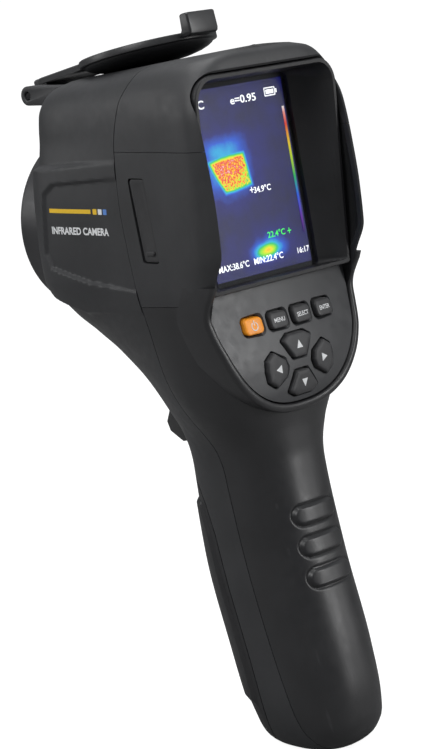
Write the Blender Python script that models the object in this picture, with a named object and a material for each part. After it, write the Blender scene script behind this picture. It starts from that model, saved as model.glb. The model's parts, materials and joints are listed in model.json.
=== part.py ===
"""Pistol-grip thermal imaging camera, modelled as an assembly of separate pieces.

Lengths in this file are millimetres and are turned into metres when a mesh is made.
Frame: +Z up, the screen faces -Y, the lens faces +Y, +X is the user's right.
The origin lies on the flat foot under the handle.
"""
import math

import bmesh
import bpy
from mathutils import Vector

MM = 0.001
GAP = 0.3                # clearance between neighbouring pieces
WALL = 2.0               # wall of the moulded housings
BODY_POINTS = 40         # points round one section of the body

# Body sections: height, half width, back, front, squareness, tilt, width ratio at the front.
SECTIONS = [
    (0.0, 10.0, -17.0, 7.0, 2.4, 0.0, 1.0),
    (1.0, 12.4, -19.4, 9.6, 2.5, 0.0, 1.0),
    (4.0, 15.0, -22.4, 12.6, 2.6, 0.0, 1.0),
    (9.0, 16.8, -24.2, 14.6, 2.6, 0.0, 1.0),
    (16.0, 17.5, -24.0, 17.6, 2.6, 0.0, 1.0),
    (30.0, 17.5, -22.0, 21.8, 2.6, 0.0, 1.0),
    (60.0, 17.5, -14.6, 29.0, 2.6, 0.0, 1.0),
    (88.0, 17.6, -9.0, 33.6, 2.6, 0.0, 1.0),
    (95.0, 18.8, -8.2, 34.6, 2.6, 0.0, 1.0),
    (101.0, 21.6, -8.2, 36.4, 2.6, 0.0, 0.9),
    (107.0, 25.4, -8.6, 39.4, 2.7, 0.0, 0.78),
    (113.0, 28.6, -9.2, 43.6, 2.8, 0.0, 0.70),
    (119.0, 30.8, -9.6, 49.6, 3.0, 0.0, 0.66),
    (125.0, 32.0, -9.8, 56.6, 3.3, 0.0, 0.66),
    (131.0, 32.9, -9.8, 63.4, 3.8, 0.0, 0.70),
    (137.0, 33.4, -10.6, 68.0, 4.6, 0.0, 0.80),
    (144.0, 33.8, -11.0, 70.0, 6.0, 0.0, 0.90),
    (150.0, 34.0, -11.6, 70.5, 7.0, 0.0, 0.94),
    (160.0, 34.2, -14.8, 70.5, 8.0, 0.0, 0.94),
    (171.0, 34.2, -14.4, 70.5, 8.0, 0.0, 0.94),
    (184.0, 34.0, -13.0, 70.5, 8.0, -0.02, 0.92),
    (196.0, 33.6, -11.0, 70.5, 8.0, -0.06, 0.88),
    (204.0, 32.6, -8.6, 70.5, 8.0, -0.09, 0.88),
    (209.5, 30.2, -7.4, 70.0, 7.0, -0.10, 0.88),
    (212.8, 26.5, -6.0, 68.5, 6.0, -0.11, 0.88),
    (214.4, 21.0, -4.0, 66.0, 5.0, -0.11, 0.88),
]
TILT_PIVOT_Y = 20.0      # a tilted section turns about this line
TAPER_FROM_Y = 10.0      # ahead of this line a section may narrow

# Parting line between the front and rear housings, seen from the side: (y, z).
REAR_SEAM = [(20.5, 225.0), (21.0, 214.0), (25.5, 203.0), (27.8, 190.0), (27.4, 175.0),
             (25.5, 160.0), (23.2, 146.0), (20.5, 134.0), (19.0, 122.0), (16.4, 112.0),
             (13.5, 104.0), (10.8, 96.0), (8.8, 84.0), (4.5, 62.0), (-1.0, 41.0),
             (-7.0, 22.0), (-12.0, 9.0), (-17.5, -1.0), (-18.0, -10.0)]
# Outline of the battery door on the front of the handle: (y, z).
DOOR_SEAM = [(50.0, 86.5), (31.0, 86.0), (26.5, 82.5), (23.0, 77.0), (20.0, 68.0),
             (16.0, 51.0), (9.5, 29.0), (5.6, 14.0), (4.4, 6.0), (4.2, -10.0)]
HOOD_SEAM_Z = 189.9      # lower edge of the screen hood
BAND_SEAM_Z = (145.2, 142.4)   # lower edge of the middle band, at the rear and at the seam

# Opening in the rear housings that shows the screen and the key panel.
APERTURE_HALF_X = 31.8
APERTURE_TOP_Z = 211.6
APERTURE_SIDE_Z = 150.0
APERTURE_FOOT_Z = 106.8
APERTURE_CORNER = 9.0

SCREEN_CENTRE = (0.0, 3.0, 177.5)
SCREEN_TILT = math.radians(6.5)
WINDOW_SIZE = (45.6, 60.6)
PANEL_TOP_Z = 146.4

LENS_Z = 164.0
FRONT_Y = 70.5
BEZEL_RADIUS = 28.6
BEZEL_FRONT_Y = 80.0
COLLAR_RADIUS = 20.8
CAMERA_Z = LENS_Z + 23.2   # the small visible-light camera above the lens

HINGE_Y, HINGE_Z = 82.8, 205.6     # axis of the lens cover
COVER_LEAN = math.radians(11.0)    # the open cover rises towards the rear
COVER_REACH = 41.6                 # from the hinge axis to the middle of the cover
COVER_RADIUS = 22.0

TRIGGER_PIVOT = (33.0, 104.0)      # (y, z) of the trigger pin
HANDLE_LEAN = math.atan2(0.225, 1.0)

# Key centres on the panel, (x, z), and half sizes of the four keys in the top row.
ROW_KEYS = [("power_key", -15.9), ("menu_key", -5.2), ("select_key", 5.4), ("enter_key", 16.0)]
ROW_KEY_Z = 135.4
ROW_KEY_HALF = (3.8, 2.45)
PAD_CENTRE_Z = 121.2
KEY_GAP = 0.6
KEY_BASE = 3.0                     # how far the foot of a key lies behind the panel's face


def clear_scene():
    for obj in list(bpy.data.objects):
        bpy.data.objects.remove(obj, do_unlink=True)


def material(name, colour, roughness, metallic=0.0):
    mat = bpy.data.materials.new(name)
    mat.use_nodes = True
    shader = mat.node_tree.nodes["Principled BSDF"]
    shader.inputs["Base Color"].default_value = (*colour, 1.0)
    shader.inputs["Roughness"].default_value = roughness
    shader.inputs["Metallic"].default_value = metallic
    mat.diffuse_color = (*colour, 1.0)
    return mat


clear_scene()
GREY = material("housing_grey", (0.055, 0.056, 0.06), 0.55)
DARK = material("housing_dark", (0.022, 0.022, 0.025), 0.45)
PANEL = material("panel_grey", (0.07, 0.071, 0.075), 0.5)
RUBBER = material("rubber_black", (0.018, 0.018, 0.02), 0.8)
ORANGE = material("key_orange", (0.9, 0.34, 0.01), 0.45)
GLASS = material("window_glass", (0.02, 0.025, 0.06), 0.08)
STEEL = material("steel", (0.6, 0.6, 0.62), 0.3, 1.0)
GERMANIUM = material("germanium", (0.2, 0.19, 0.2), 0.12, 1.0)
BOARD = material("circuit_board", (0.02, 0.12, 0.05), 0.5)
CELL = material("cell_wrap", (0.05, 0.2, 0.5), 0.4)


# ---------------------------------------------------------------- shape helpers

def finish(name, bm, mat, origin=(0.0, 0.0, 0.0), smooth=40.0):
    """Turn a millimetre bmesh into a named object whose origin is at the given point."""
    bmesh.ops.recalc_face_normals(bm, faces=bm.faces)
    start = Vector(origin)
    for vert in bm.verts:
        vert.co = (vert.co - start) * MM
    mesh = bpy.data.meshes.new(name)
    bm.to_mesh(mesh)
    bm.free()
    mesh.materials.append(mat)
    mesh.shade_smooth()
    mesh.set_sharp_from_angle(angle=math.radians(smooth))
    obj = bpy.data.objects.new(name, mesh)
    obj.location = start * MM
    bpy.context.scene.collection.objects.link(obj)
    return obj


def loft(name, rings, mat, origin=(0.0, 0.0, 0.0)):
    """A closed skin through rings of equal point counts, with flat ends."""
    bm = bmesh.new()
    loops = [[bm.verts.new(point) for point in ring] for ring in rings]
    count = len(rings[0])
    for low, high in zip(loops, loops[1:]):
        for i in range(count):
            j = (i + 1) % count
            bm.faces.new((low[i], low[j], high[j], high[i]))
    bm.faces.new(loops[0])
    bm.faces.new(loops[-1])
    return finish(name, bm, mat, origin)


def ring_body(name, loops, mat, origin=(0.0, 0.0, 0.0)):
    """A closed frame: the loops follow its cross-section and join up at the end."""
    bm = bmesh.new()
    verts = [[bm.verts.new(point) for point in loop] for loop in loops]
    count = len(loops[0])
    for k, loop in enumerate(verts):
        following = verts[(k + 1) % len(verts)]
        for i in range(count):
            j = (i + 1) % count
            bm.faces.new((loop[i], loop[j], following[j], following[i]))
    return finish(name, bm, mat, origin)


def prism(name, outline, axis, low, high, mat, origin=(0.0, 0.0, 0.0)):
    """Extrude a flat outline along one axis; the outline gives the other two in order."""
    def place(point, depth):
        a, b = point
        return {"X": (depth, a, b), "Y": (a, depth, b), "Z": (a, b, depth)}[axis]
    return loft(name, [[place(p, d) for p in outline] for d in (low, high)], mat, origin)


def box(name, low, high, mat, origin=(0.0, 0.0, 0.0)):
    outline = [(low[0], low[1]), (high[0], low[1]), (high[0], high[1]), (low[0], high[1])]
    return prism(name, outline, "Z", low[2], high[2], mat, origin)


def turned(name, profile, axis, centre, mat, steps=32, origin=(0.0, 0.0, 0.0)):
    """Turn (radius, position) points about a line along X, Y or the leaning handle."""
    def place(radius, along, angle):
        u, v = radius * math.cos(angle), radius * math.sin(angle)
        if axis == "X":
            return (centre[0] + along, centre[1] + u, centre[2] + v)
        if axis == "Y":
            return (centre[0] + u, centre[1] + along, centre[2] + v)
        lean_y, lean_z = math.sin(HANDLE_LEAN), math.cos(HANDLE_LEAN)
        return (centre[0] + u,
                centre[1] + v * lean_z + along * lean_y,
                centre[2] - v * lean_y + along * lean_z)
    bm = bmesh.new()
    rows = []
    for radius, along in profile:
        if radius == 0.0:
            rows.append([bm.verts.new(place(0.0, along, 0.0))])
        else:
            rows.append([bm.verts.new(place(radius, along, math.tau * i / steps))
                         for i in range(steps)])
    closed = profile[0][0] != 0.0
    pairs = list(zip(rows, rows[1:])) + ([(rows[-1], rows[0])] if closed else [])
    for first, second in pairs:
        for i in range(steps):
            j = (i + 1) % steps
            corners = [first[i % len(first)], first[j % len(first)],
                       second[j % len(second)], second[i % len(second)]]
            unique = list(dict.fromkeys(corners))
            bm.faces.new(unique)
    return finish(name, bm, mat, origin, smooth=30.0)


def arc(centre, radius, start, stop, steps):
    """Points on an arc, angles in degrees."""
    points = []
    for i in range(steps + 1):
        angle = math.radians(start + (stop - start) * i / steps)
        points.append((centre[0] + radius * math.cos(angle), centre[1] + radius * math.sin(angle)))
    return points


def rounded_rect(half_a, half_b, radius, centre=(0.0, 0.0), steps=4):
    a, b = half_a - radius, half_b - radius
    points = []
    for sign_a, sign_b, start in ((1, 1, 0), (-1, 1, 90), (-1, -1, 180), (1, -1, 270)):
        corner = (centre[0] + sign_a * a, centre[1] + sign_b * b)
        points += arc(corner, radius, start, start + 90, steps)
    return points


def arched_rect(half_a, half_b, top_radius, foot_radius, centre, steps=4):
    """A rectangle with one radius at its upper corners and another at its lower ones."""
    points = []
    for sign_a, sign_b, start in ((1, 1, 0), (-1, 1, 90), (-1, -1, 180), (1, -1, 270)):
        radius = top_radius if sign_b > 0 else foot_radius
        corner = (centre[0] + sign_a * (half_a - radius), centre[1] + sign_b * (half_b - radius))
        points += arc(corner, radius, start, start + 90, steps)
    return points


def rounded_polygon(corners, radius, steps=3):
    """Round every corner of a convex polygon with one radius."""
    points = []
    for i, corner in enumerate(corners):
        here = Vector(corner)
        to_last = (Vector(corners[i - 1]) - here).normalized()
        to_next = (Vector(corners[(i + 1) % len(corners)]) - here).normalized()
        half = math.acos(max(-1.0, min(1.0, to_last.dot(to_next)))) / 2
        reach = radius / math.tan(half)
        start, stop = here + to_last * reach, here + to_next * reach
        for k in range(steps + 1):
            t = k / steps
            points.append(tuple(start * (1 - t) ** 2 + here * 2 * t * (1 - t) + stop * t ** 2))
    return points


def cut(obj, cutter, operation="DIFFERENCE"):
    cutter.hide_render = True
    cutter.display_type = "WIRE"
    modifier = obj.modifiers.new(cutter.name, "BOOLEAN")
    modifier.operation = operation
    modifier.solver = "EXACT"
    modifier.object = cutter
    return obj


# ---------------------------------------------------------------- the body

def ease(low, high, value):
    t = min(1.0, max(0.0, (value - low) / (high - low)))
    return t * t * (3 - 2 * t)


def rear_flare(y, height):
    """The sides of the head spread a little towards the hood's lip."""
    return 0.055 * ease(10.0, -8.0, y) * ease(104.0, 130.0, height) * ease(212.0, 198.0, height)


def body_ring(section, inset):
    height, half, back, front, square, tilt, ratio = section
    half, back, front = half - inset, back + inset, front - inset
    middle, depth = (front + back) / 2, (front - back) / 2
    points = []
    for i in range(BODY_POINTS):
        angle = math.tau * i / BODY_POINTS
        c, s = math.cos(angle), math.sin(angle)
        x = half * math.copysign(abs(c) ** (2 / square), c)
        y = middle + depth * math.copysign(abs(s) ** (2 / square), s)
        t = max(0.0, (y - TAPER_FROM_Y) / (front - TAPER_FROM_Y))
        x *= 1 - (1 - ratio) * t * t * (3 - 2 * t)
        x *= 1 + rear_flare(y, height)
        points.append((x, y, height + tilt * (y - TILT_PIVOT_Y)))
    return points


def body_solid(name, inset=0.0):
    """The outer body, or the hollow inside it when an inset is given."""
    sections = SECTIONS
    if inset:
        base, top = SECTIONS[0], SECTIONS[-1]
        sections = [(base[0] + inset, *SECTIONS[1][1:])]
        sections += [s for s in SECTIONS[2:-2] if s[0] > inset]
        sections.append((top[0] - inset, *SECTIONS[-2][1:]))
    return loft(name, [body_ring(s, inset) for s in sections], GREY)


def offset_profile(points, shift):
    """Move a side profile along Y."""
    return [(y + shift, z) for y, z in points]


FAR = 120.0              # beyond the body in any direction
WIDE = 50.0              # beyond the body sideways


def side_region(name, line, forward, shift):
    """Everything ahead of (or behind) a line drawn in side view."""
    edge = offset_profile(line, shift)
    limit = FAR if forward else -FAR
    outline = edge + [(limit, edge[-1][1]), (limit, edge[0][1])]
    return prism(name, outline, "X", -WIDE, WIDE, GREY)


def aperture_outline(inset=0.0, top=APERTURE_TOP_Z):
    """Round-cornered at the top, a deep U at the foot."""
    half = APERTURE_HALF_X - inset
    foot = APERTURE_FOOT_Z + inset
    upper = top - inset
    corner = APERTURE_CORNER - inset
    right = arc((half - corner, upper - corner), corner, 90, 0, 5)
    steps = 12
    for i in range(steps + 1):
        angle = math.pi / 2 * i / steps
        right.append((half * math.cos(angle) ** 0.83,
                      APERTURE_SIDE_Z - (APERTURE_SIDE_Z - foot) * math.sin(angle) ** 0.83))
    left = [(-x, z) for x, z in reversed(right[:-1])]
    return right + left


def make_housings():
    half = GAP / 2
    cavity = body_solid("cut_cavity", WALL)
    cut_front = side_region("cut_front", REAR_SEAM, True, half)
    cut_rear = side_region("cut_rear", REAR_SEAM, False, -half)
    cut_door = side_region("cut_door", DOOR_SEAM, True, half)
    cut_no_door = side_region("cut_no_door", DOOR_SEAM, True, -half)
    aperture = prism("cut_aperture", aperture_outline(), "Y", -40.0, 10.7, GREY)

    front = body_solid("front_housing")
    cut(front, cavity)
    cut(front, cut_front, "INTERSECT")
    cut(front, cut_no_door)
    cut(front, box("cut_trigger", (-6.6, 24.0, 91.5), (6.6, 60.0, 106.0), GREY))
    cut(front, turned("cut_lens_hole", [(0.0, 60.0), (16.5, 60.0), (16.5, 75.0), (0.0, 75.0)],
                      "Y", (0.0, 0.0, LENS_Z), GREY))
    cut(front, turned("cut_camera_hole", [(0.0, 60.0), (3.2, 60.0), (3.2, 75.0), (0.0, 75.0)],
                      "Y", (0.0, 0.0, CAMERA_Z), GREY, 16))
    for side in (-1, 1):
        lug = hinge_lug("add_lug_left" if side < 0 else "add_lug_right", side)
        cut(front, lug, "UNION")
        boss = box("add_boss_left" if side < 0 else "add_boss_right",
                   (min(side * 7.0, side * 12.0), 26.0, 100.5),
                   (max(side * 7.0, side * 12.0), 35.2, 107.5), GREY)
        cut(front, boss, "UNION")
    cut(front, turned("cut_pin_bore", [(0.0, -20.0), (1.35, -20.0), (1.35, 20.0), (0.0, 20.0)],
                      "X", (0.0, HINGE_Y, HINGE_Z), GREY, 12))
    cut(front, turned("cut_trigger_bore",
                      [(0.0, -11.0), (1.3, -11.0), (1.3, 11.0), (0.0, 11.0)],
                      "X", (0.0, *TRIGGER_PIVOT), GREY, 12))

    door = body_solid("battery_door")
    door.data.materials[0] = DARK
    cut(door, cavity)
    cut(door, cut_door, "INTERSECT")

    low_rear, low_seam = BAND_SEAM_Z
    hood_floor = prism("cut_hood_region", [(-FAR, HOOD_SEAM_Z + half), (FAR, HOOD_SEAM_Z + half),
                                           (FAR, 240.0), (-FAR, 240.0)], "X", -WIDE, WIDE, GREY)
    band_region = prism("cut_band_region",
                        [(-15.0, low_rear + half), (30.0, low_seam + half),
                         (30.0, HOOD_SEAM_Z - half), (-15.0, HOOD_SEAM_Z - half)],
                        "X", -WIDE, WIDE, GREY)
    low_region = prism("cut_low_region",
                       [(-40.0, low_rear - half), (-15.0, low_rear - half),
                        (30.0, low_seam - half), (30.0, -10.0), (-40.0, -10.0)],
                       "X", -WIDE, WIDE, GREY)
    pieces = (("screen_hood", hood_floor), ("middle_band", band_region),
              ("rear_housing", low_region))
    for name, region in pieces:
        piece = body_solid(name)
        cut(piece, cavity)
        cut(piece, cut_rear, "INTERSECT")
        cut(piece, region, "INTERSECT")
        cut(piece, aperture)
        if name == "middle_band":
            for side in (-1, 1):
                cut(piece, port_solid("cut_port_left" if side < 0 else "cut_port_right",
                                      side, 0.0, 28.0, 40.0))
            cut(piece, prism("add_bulkhead", bulkhead_outline(), "Y", 14.0, 16.0, GREY), "UNION")
        if name == "rear_housing":
            piece.data.materials[0] = DARK
            add_lip(piece)
            add_ribs(piece)


LIP_WIDTH = 2.6          # raised rim of the rear housing round the key panel
LIP_PROUD = 1.0          # how far it stands behind the panel's face
LIP_FOOT_Y = 2.0
LIP_TOP_Z = 141.0


def add_lip(piece):
    """A rim that follows the foot of the opening and frames the key panel."""
    rings = []
    for (x_in, z_in), (x_out, z_out) in zip(aperture_outline(-0.3), aperture_outline(-LIP_WIDTH)):
        if z_in <= LIP_TOP_Z and z_out <= LIP_TOP_Z:
            edge = panel_y(x_in, z_in) - LIP_PROUD
            rings.append([(x_in, edge, z_in), (x_out, edge, z_out),
                          (x_out, LIP_FOOT_Y, z_out), (x_in, LIP_FOOT_Y, z_in)])
    cut(piece, loft("add_lip", rings, DARK), "UNION")


def bulkhead_outline():
    """The plate that ties both cheeks of the band, narrow beside the side ports."""
    right = [(32.6, 147.5), (32.6, 153.0), (27.0, 155.0), (27.0, 184.5), (32.6, 186.0),
             (32.6, 188.5)]
    return right + [(-x, z) for x, z in reversed(right)]


def hinge_lug(name, side):
    """An ear on the front edge of the head that holds one end of the cover pin."""
    outline = [(66.0, HINGE_Z - 3.1), (HINGE_Y, HINGE_Z - 3.1)]
    outline += arc((HINGE_Y, HINGE_Z), 3.1, -70, 70, 7)
    outline += [(HINGE_Y, HINGE_Z + 3.1), (66.0, HINGE_Z + 3.1)]
    low, high = sorted((side * 12.6, side * 16.5))
    return prism(name, outline, "X", low, high, GREY)


RIB_HEIGHTS = (79.5, 67.5, 55.5)
RIB_PROUD = 1.0
RIB_HALF_X = 13.3


def section_at(height):
    """The body section at a height, between two of the listed ones."""
    for low, high in zip(SECTIONS, SECTIONS[1:]):
        if low[0] <= height <= high[0]:
            t = (height - low[0]) / (high[0] - low[0])
            return tuple(a + (b - a) * t for a, b in zip(low, high))
    return SECTIONS[-1]


def add_ribs(piece):
    """Three raised bars across the back of the handle."""
    for number, height in enumerate(RIB_HEIGHTS, 1):
        loops = [body_ring(section_at(height + rise), -proud) for rise, proud in
                 ((-3.1, -0.5), (-2.1, RIB_PROUD), (2.1, RIB_PROUD), (3.1, -0.5),
                  (2.6, -1.4), (-2.6, -1.4))]
        band = ring_body(f"rib_band_{number}", loops, DARK)
        reach = box(f"cut_rib_{number}", (-RIB_HALF_X, -40.0, height - 8.0),
                    (RIB_HALF_X, -1.0, height + 8.0), DARK)
        cut(band, reach, "INTERSECT")
        cut(piece, band, "UNION")


# ---------------------------------------------------------------- side port covers

PORT_TOP = (19.1, 182.2)       # middle of the top edge (y, z)
PORT_FOOT = (15.4, 156.6)      # middle of the lower edge
PORT_HALF_Y = 3.5


def port_outline(grow):
    (top_y, top_z), (foot_y, foot_z) = PORT_TOP, PORT_FOOT
    reach = PORT_HALF_Y + grow
    corners = [(foot_y - reach, foot_z - grow), (foot_y + reach, foot_z - grow),
               (top_y + reach, top_z + grow), (top_y - reach, top_z + grow)]
    return rounded_polygon(corners, 1.2)


def port_solid(name, side, grow, inner, outer, mat=RUBBER, origin=(0.0, 0.0, 0.0)):
    low, high = sorted((side * inner, side * outer))
    return prism(name, port_outline(grow), "X", low, high, mat, origin)


def make_port_covers():
    for side, name in ((-1, "usb_cover"), (1, "card_cover")):
        hinge = (side * 33.6, PORT_TOP[0], PORT_TOP[1] - 0.6)
        port_solid(name, side, -GAP, 32.2, 34.0, RUBBER, hinge)


# ---------------------------------------------------------------- screen

def screen_point(x, up, depth):
    """A point given across and up the tilted screen, and behind its surface."""
    return (SCREEN_CENTRE[0] + x,
            SCREEN_CENTRE[1] + up * math.sin(SCREEN_TILT) + depth * math.cos(SCREEN_TILT),
            SCREEN_CENTRE[2] + up * math.cos(SCREEN_TILT) - depth * math.sin(SCREEN_TILT))


def screen_plate(name, half_x, half_up, near, far, mat, radius=1.0):
    outline = rounded_rect(half_x, half_up, radius, steps=2)
    rings = [[screen_point(x, up, depth) for x, up in outline] for depth in (near, far)]
    return loft(name, rings, mat)


def make_screen():
    low, high = PANEL_TOP_Z + GAP, APERTURE_TOP_Z - 0.5
    centre = (0.0, (low + high) / 2)
    half = (APERTURE_HALF_X - 0.5, (high - low) / 2)
    rim_y = -6.2
    outer = arched_rect(*half, 8.0, 1.0, centre)
    inner = arched_rect(half[0] - 1.3, half[1] - 1.3, 6.7, 1.0, centre)
    window = rounded_rect(WINDOW_SIZE[0] / 2, WINDOW_SIZE[1] / 2, 1.5)

    def back_y(z):
        return SCREEN_CENTRE[1] + 2.6 + (z - SCREEN_CENTRE[2]) * math.tan(SCREEN_TILT)

    loops = [[(x, rim_y, z) for x, z in outer],
             [(x, rim_y, z) for x, z in inner],
             [screen_point(x, up, 0.0) for x, up in window],
             [screen_point(x, up, 1.6) for x, up in window],
             [(x, back_y(z), z) for x, z in outer]]
    ring_body("screen_surround", loops, DARK)
    half_x, half_up = WINDOW_SIZE[0] / 2 - GAP, WINDOW_SIZE[1] / 2 - GAP
    screen_plate("screen_window", half_x, half_up, 0.4, 1.4, GLASS)
    screen_plate("screen_gasket", 24.4, 32.0, 3.0, 3.6, RUBBER)
    screen_plate("display_module", 24.6, 32.4, 4.0, 7.0, STEEL, 0.6)


# ---------------------------------------------------------------- keys

PANEL_PROFILE = [(146.4, -4.0), (140.0, -5.4), (135.4, -6.6), (128.0, -8.8), (121.0, -9.8),
                 (115.0, -10.0), (110.0, -9.4), (106.0, -8.2)]
PANEL_CROWN = 1.5
PANEL_THICK = 2.2


def panel_y(x, z):
    """Outer surface of the key panel."""
    profile = PANEL_PROFILE
    y = profile[0][1] if z > profile[0][0] else profile[-1][1]
    for (z_a, y_a), (z_b, y_b) in zip(profile, profile[1:]):
        if z_b <= z <= z_a:
            y = y_a + (y_b - y_a) * (z_a - z) / (z_a - z_b)
    return y + PANEL_CROWN * (x / 29.0) ** 2


def curved_slab(name, near, far, mat, half_x=32.0):
    """A sheet that follows the panel's surface, between two depths behind it."""
    columns = [half_x * (i / 5 - 1) for i in range(11)]
    rows = [z for z, _ in PANEL_PROFILE]
    rows[0], rows[-1] = rows[0] + 2.0, rows[-1] - 2.0
    rings = []
    for x in columns:
        front = [(x, panel_y(x, z) + near, z) for z in rows]
        back = [(x, panel_y(x, z) + far, z) for z in reversed(rows)]
        rings.append(front + back)
    return loft(name, rings, mat)


def panel_outline(inset):
    """The U below the screen: the aperture's foot, closed by a straight top edge."""
    points = [(x, z) for x, z in aperture_outline(inset) if z < PANEL_TOP_Z - 2.0]
    half = APERTURE_HALF_X - inset
    return [(half, PANEL_TOP_Z)] + points + [(-half, PANEL_TOP_Z)]


def key_outlines():
    """Outline of each key round its own centre: name, centre (x, z), outline."""
    keys = []
    for name, x in ROW_KEYS:
        keys.append((name, (x, ROW_KEY_Z), rounded_rect(*ROW_KEY_HALF, 1.4, steps=3)))
    wide, narrow, tall = 6.4, 2.6, 3.6
    upright = [(wide, tall * 0.55), (narrow, -tall), (-narrow, -tall), (-wide, tall * 0.55),
               (-wide * 0.55, tall), (wide * 0.55, tall)]
    sideways = [(4.3, 3.2), (4.7, 0.0), (4.3, -3.2), (1.1, -5.3), (-3.4, -2.3), (-4.1, 0.0),
                (-3.4, 2.3), (1.1, 5.3)]
    for name, centre, corners, flip in (
            ("up_key", (0.0, PAD_CENTRE_Z + 5.7), upright, (1, 1)),
            ("down_key", (0.0, PAD_CENTRE_Z - 5.7), upright, (1, -1)),
            ("right_key", (10.1, PAD_CENTRE_Z), sideways, (1, 1)),
            ("left_key", (-10.3, PAD_CENTRE_Z), sideways, (-1, 1))):
        turned_corners = [(x * flip[0], z * flip[1]) for x, z in corners]
        keys.append((name, centre, rounded_polygon(turned_corners, 0.7, steps=2)))
    return keys


def scaled_outline(outline, grow):
    """Push each point of an outline outwards by about the given distance."""
    points = []
    for x, z in outline:
        length = math.hypot(x, z)
        points.append((x * (1 + grow / length), z * (1 + grow / length)))
    return points


def make_keys():
    panel = prism("key_panel", panel_outline(0.5), "Y", -20.0, 10.0, PANEL)
    cut(panel, curved_slab("cut_panel_slab", 0.0, PANEL_THICK, PANEL), "INTERSECT")
    for name, (x, z), outline in key_outlines():
        socket = [(x + u, z + v) for u, v in scaled_outline(outline, KEY_GAP)]
        cut(panel, prism(f"cut_{name}", socket, "Y", -20.0, 10.0, PANEL))
        face = panel_y(x, z)
        slope_x = (panel_y(x + 2.0, z) - panel_y(x - 2.0, z)) / 4.0
        slope_z = (panel_y(x, z + 2.0) - panel_y(x, z - 2.0)) / 4.0
        rings = [[(x + u, face + KEY_BASE, z + v) for u, v in outline]]
        for scale, proud in ((1.0, 0.3), (0.84, 0.9)):
            rings.append([(x + u * scale,
                           face - proud + (slope_x * u + slope_z * v) * scale,
                           z + v * scale) for u, v in outline])
        loft(name, rings, ORANGE if name == "power_key" else RUBBER, (x, face, z))
    mat_sheet = prism("key_mat", [(-11.0, 113.0), (11.0, 113.0), (18.0, 122.0), (22.0, 132.0),
                                  (22.0, 142.0), (-22.0, 142.0), (-22.0, 132.0),
                                  (-18.0, 122.0)], "Y", -20.0, 10.0, RUBBER)
    cut(mat_sheet, curved_slab("cut_mat_slab", 5.2, 6.2, RUBBER), "INTERSECT")
    lean = 0.26
    board = [(-0.2 + lean * (z - 121.0) + shift, z)
             for z, shift in ((115.0, 0.0), (142.5, 0.0), (142.5, 1.6), (115.0, 1.6))]
    prism("key_board", board, "X", -19.5, 19.5, BOARD)


# ---------------------------------------------------------------- lens and cover

def make_lens():
    at = (0.0, 0.0, LENS_Z)
    back = FRONT_Y + GAP
    floor = 72.2
    rim = BEZEL_RADIUS
    bezel = turned("lens_bezel", [(16.8, back), (rim, back), (rim, BEZEL_FRONT_Y - 1.6),
                                  (rim - 0.5, BEZEL_FRONT_Y - 0.4), (rim - 1.6, BEZEL_FRONT_Y),
                                  (rim - 2.3, BEZEL_FRONT_Y - 0.5), (rim - 2.4, floor),
                                  (16.8, floor)], "Y", at, DARK, 48)
    cut(bezel, box("cut_bezel_notch", (-12.8, 77.2, 180.0), (12.8, 90.0, 200.0), DARK))
    cut(bezel, box("cut_bezel_latch", (-7.0, 71.9, LENS_Z - 40.0), (7.0, 90.0, LENS_Z - 20.0),
                   DARK))
    cut(bezel, turned("cut_bezel_camera", [(0.0, 60.0), (3.2, 60.0), (3.2, 90.0), (0.0, 90.0)],
                      "Y", (0.0, 0.0, CAMERA_Z), DARK, 16))
    turned("lens_collar", [(15.0, floor + GAP), (COLLAR_RADIUS - 0.3, floor + GAP),
                           (COLLAR_RADIUS, 76.4), (COLLAR_RADIUS - 1.0, 77.4),
                           (14.6, 77.4), (12.4, 75.0), (12.4, 73.8), (15.0, 73.4)],
           "Y", at, DARK, 36)
    turned("lens_barrel", [(11.6, 52.0), (14.2, 52.0), (14.2, 72.8), (11.6, 72.8)],
           "Y", at, STEEL, 28)
    turned("germanium_lens", [(0.0, 67.5), (11.2, 67.5), (11.2, 71.2), (8.0, 72.0), (0.0, 72.6)],
           "Y", at, GERMANIUM, 28)
    turned("lens_seal", [(11.9, 73.1), (14.2, 73.1), (14.2, 73.4), (12.2, 73.6), (11.9, 73.6)],
           "Y", at, RUBBER, 28)
    turned("visible_camera", [(0.0, 64.0), (2.8, 64.0), (2.8, 72.6), (2.2, 73.2), (1.6, 72.6),
                              (0.0, 72.9)], "Y", (0.0, 0.0, CAMERA_Z), DARK, 16)
    box("infrared_core", (-13.0, 36.0, LENS_Z - 13.0), (13.0, 51.6, LENS_Z + 13.0), STEEL)
    box("front_board", (-20.0, 33.6, LENS_Z - 22.0), (20.0, 35.2, LENS_Z + 22.0), BOARD)


def cover_point(x, reach, rise):
    """A point of the open cover: across, away from the hinge axis, and above it."""
    c, s = math.cos(COVER_LEAN), math.sin(COVER_LEAN)
    return (x, HINGE_Y - reach * c + rise * s, HINGE_Z + reach * s + rise * c)


def cover_prism(name, outline, low, high, mat=DARK, origin=(0.0, 0.0, 0.0)):
    """Extrude an (x, reach) outline between two rises."""
    rings = [[cover_point(x, reach, rise) for x, reach in outline] for rise in (low, high)]
    return loft(name, rings, mat, origin)


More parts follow.
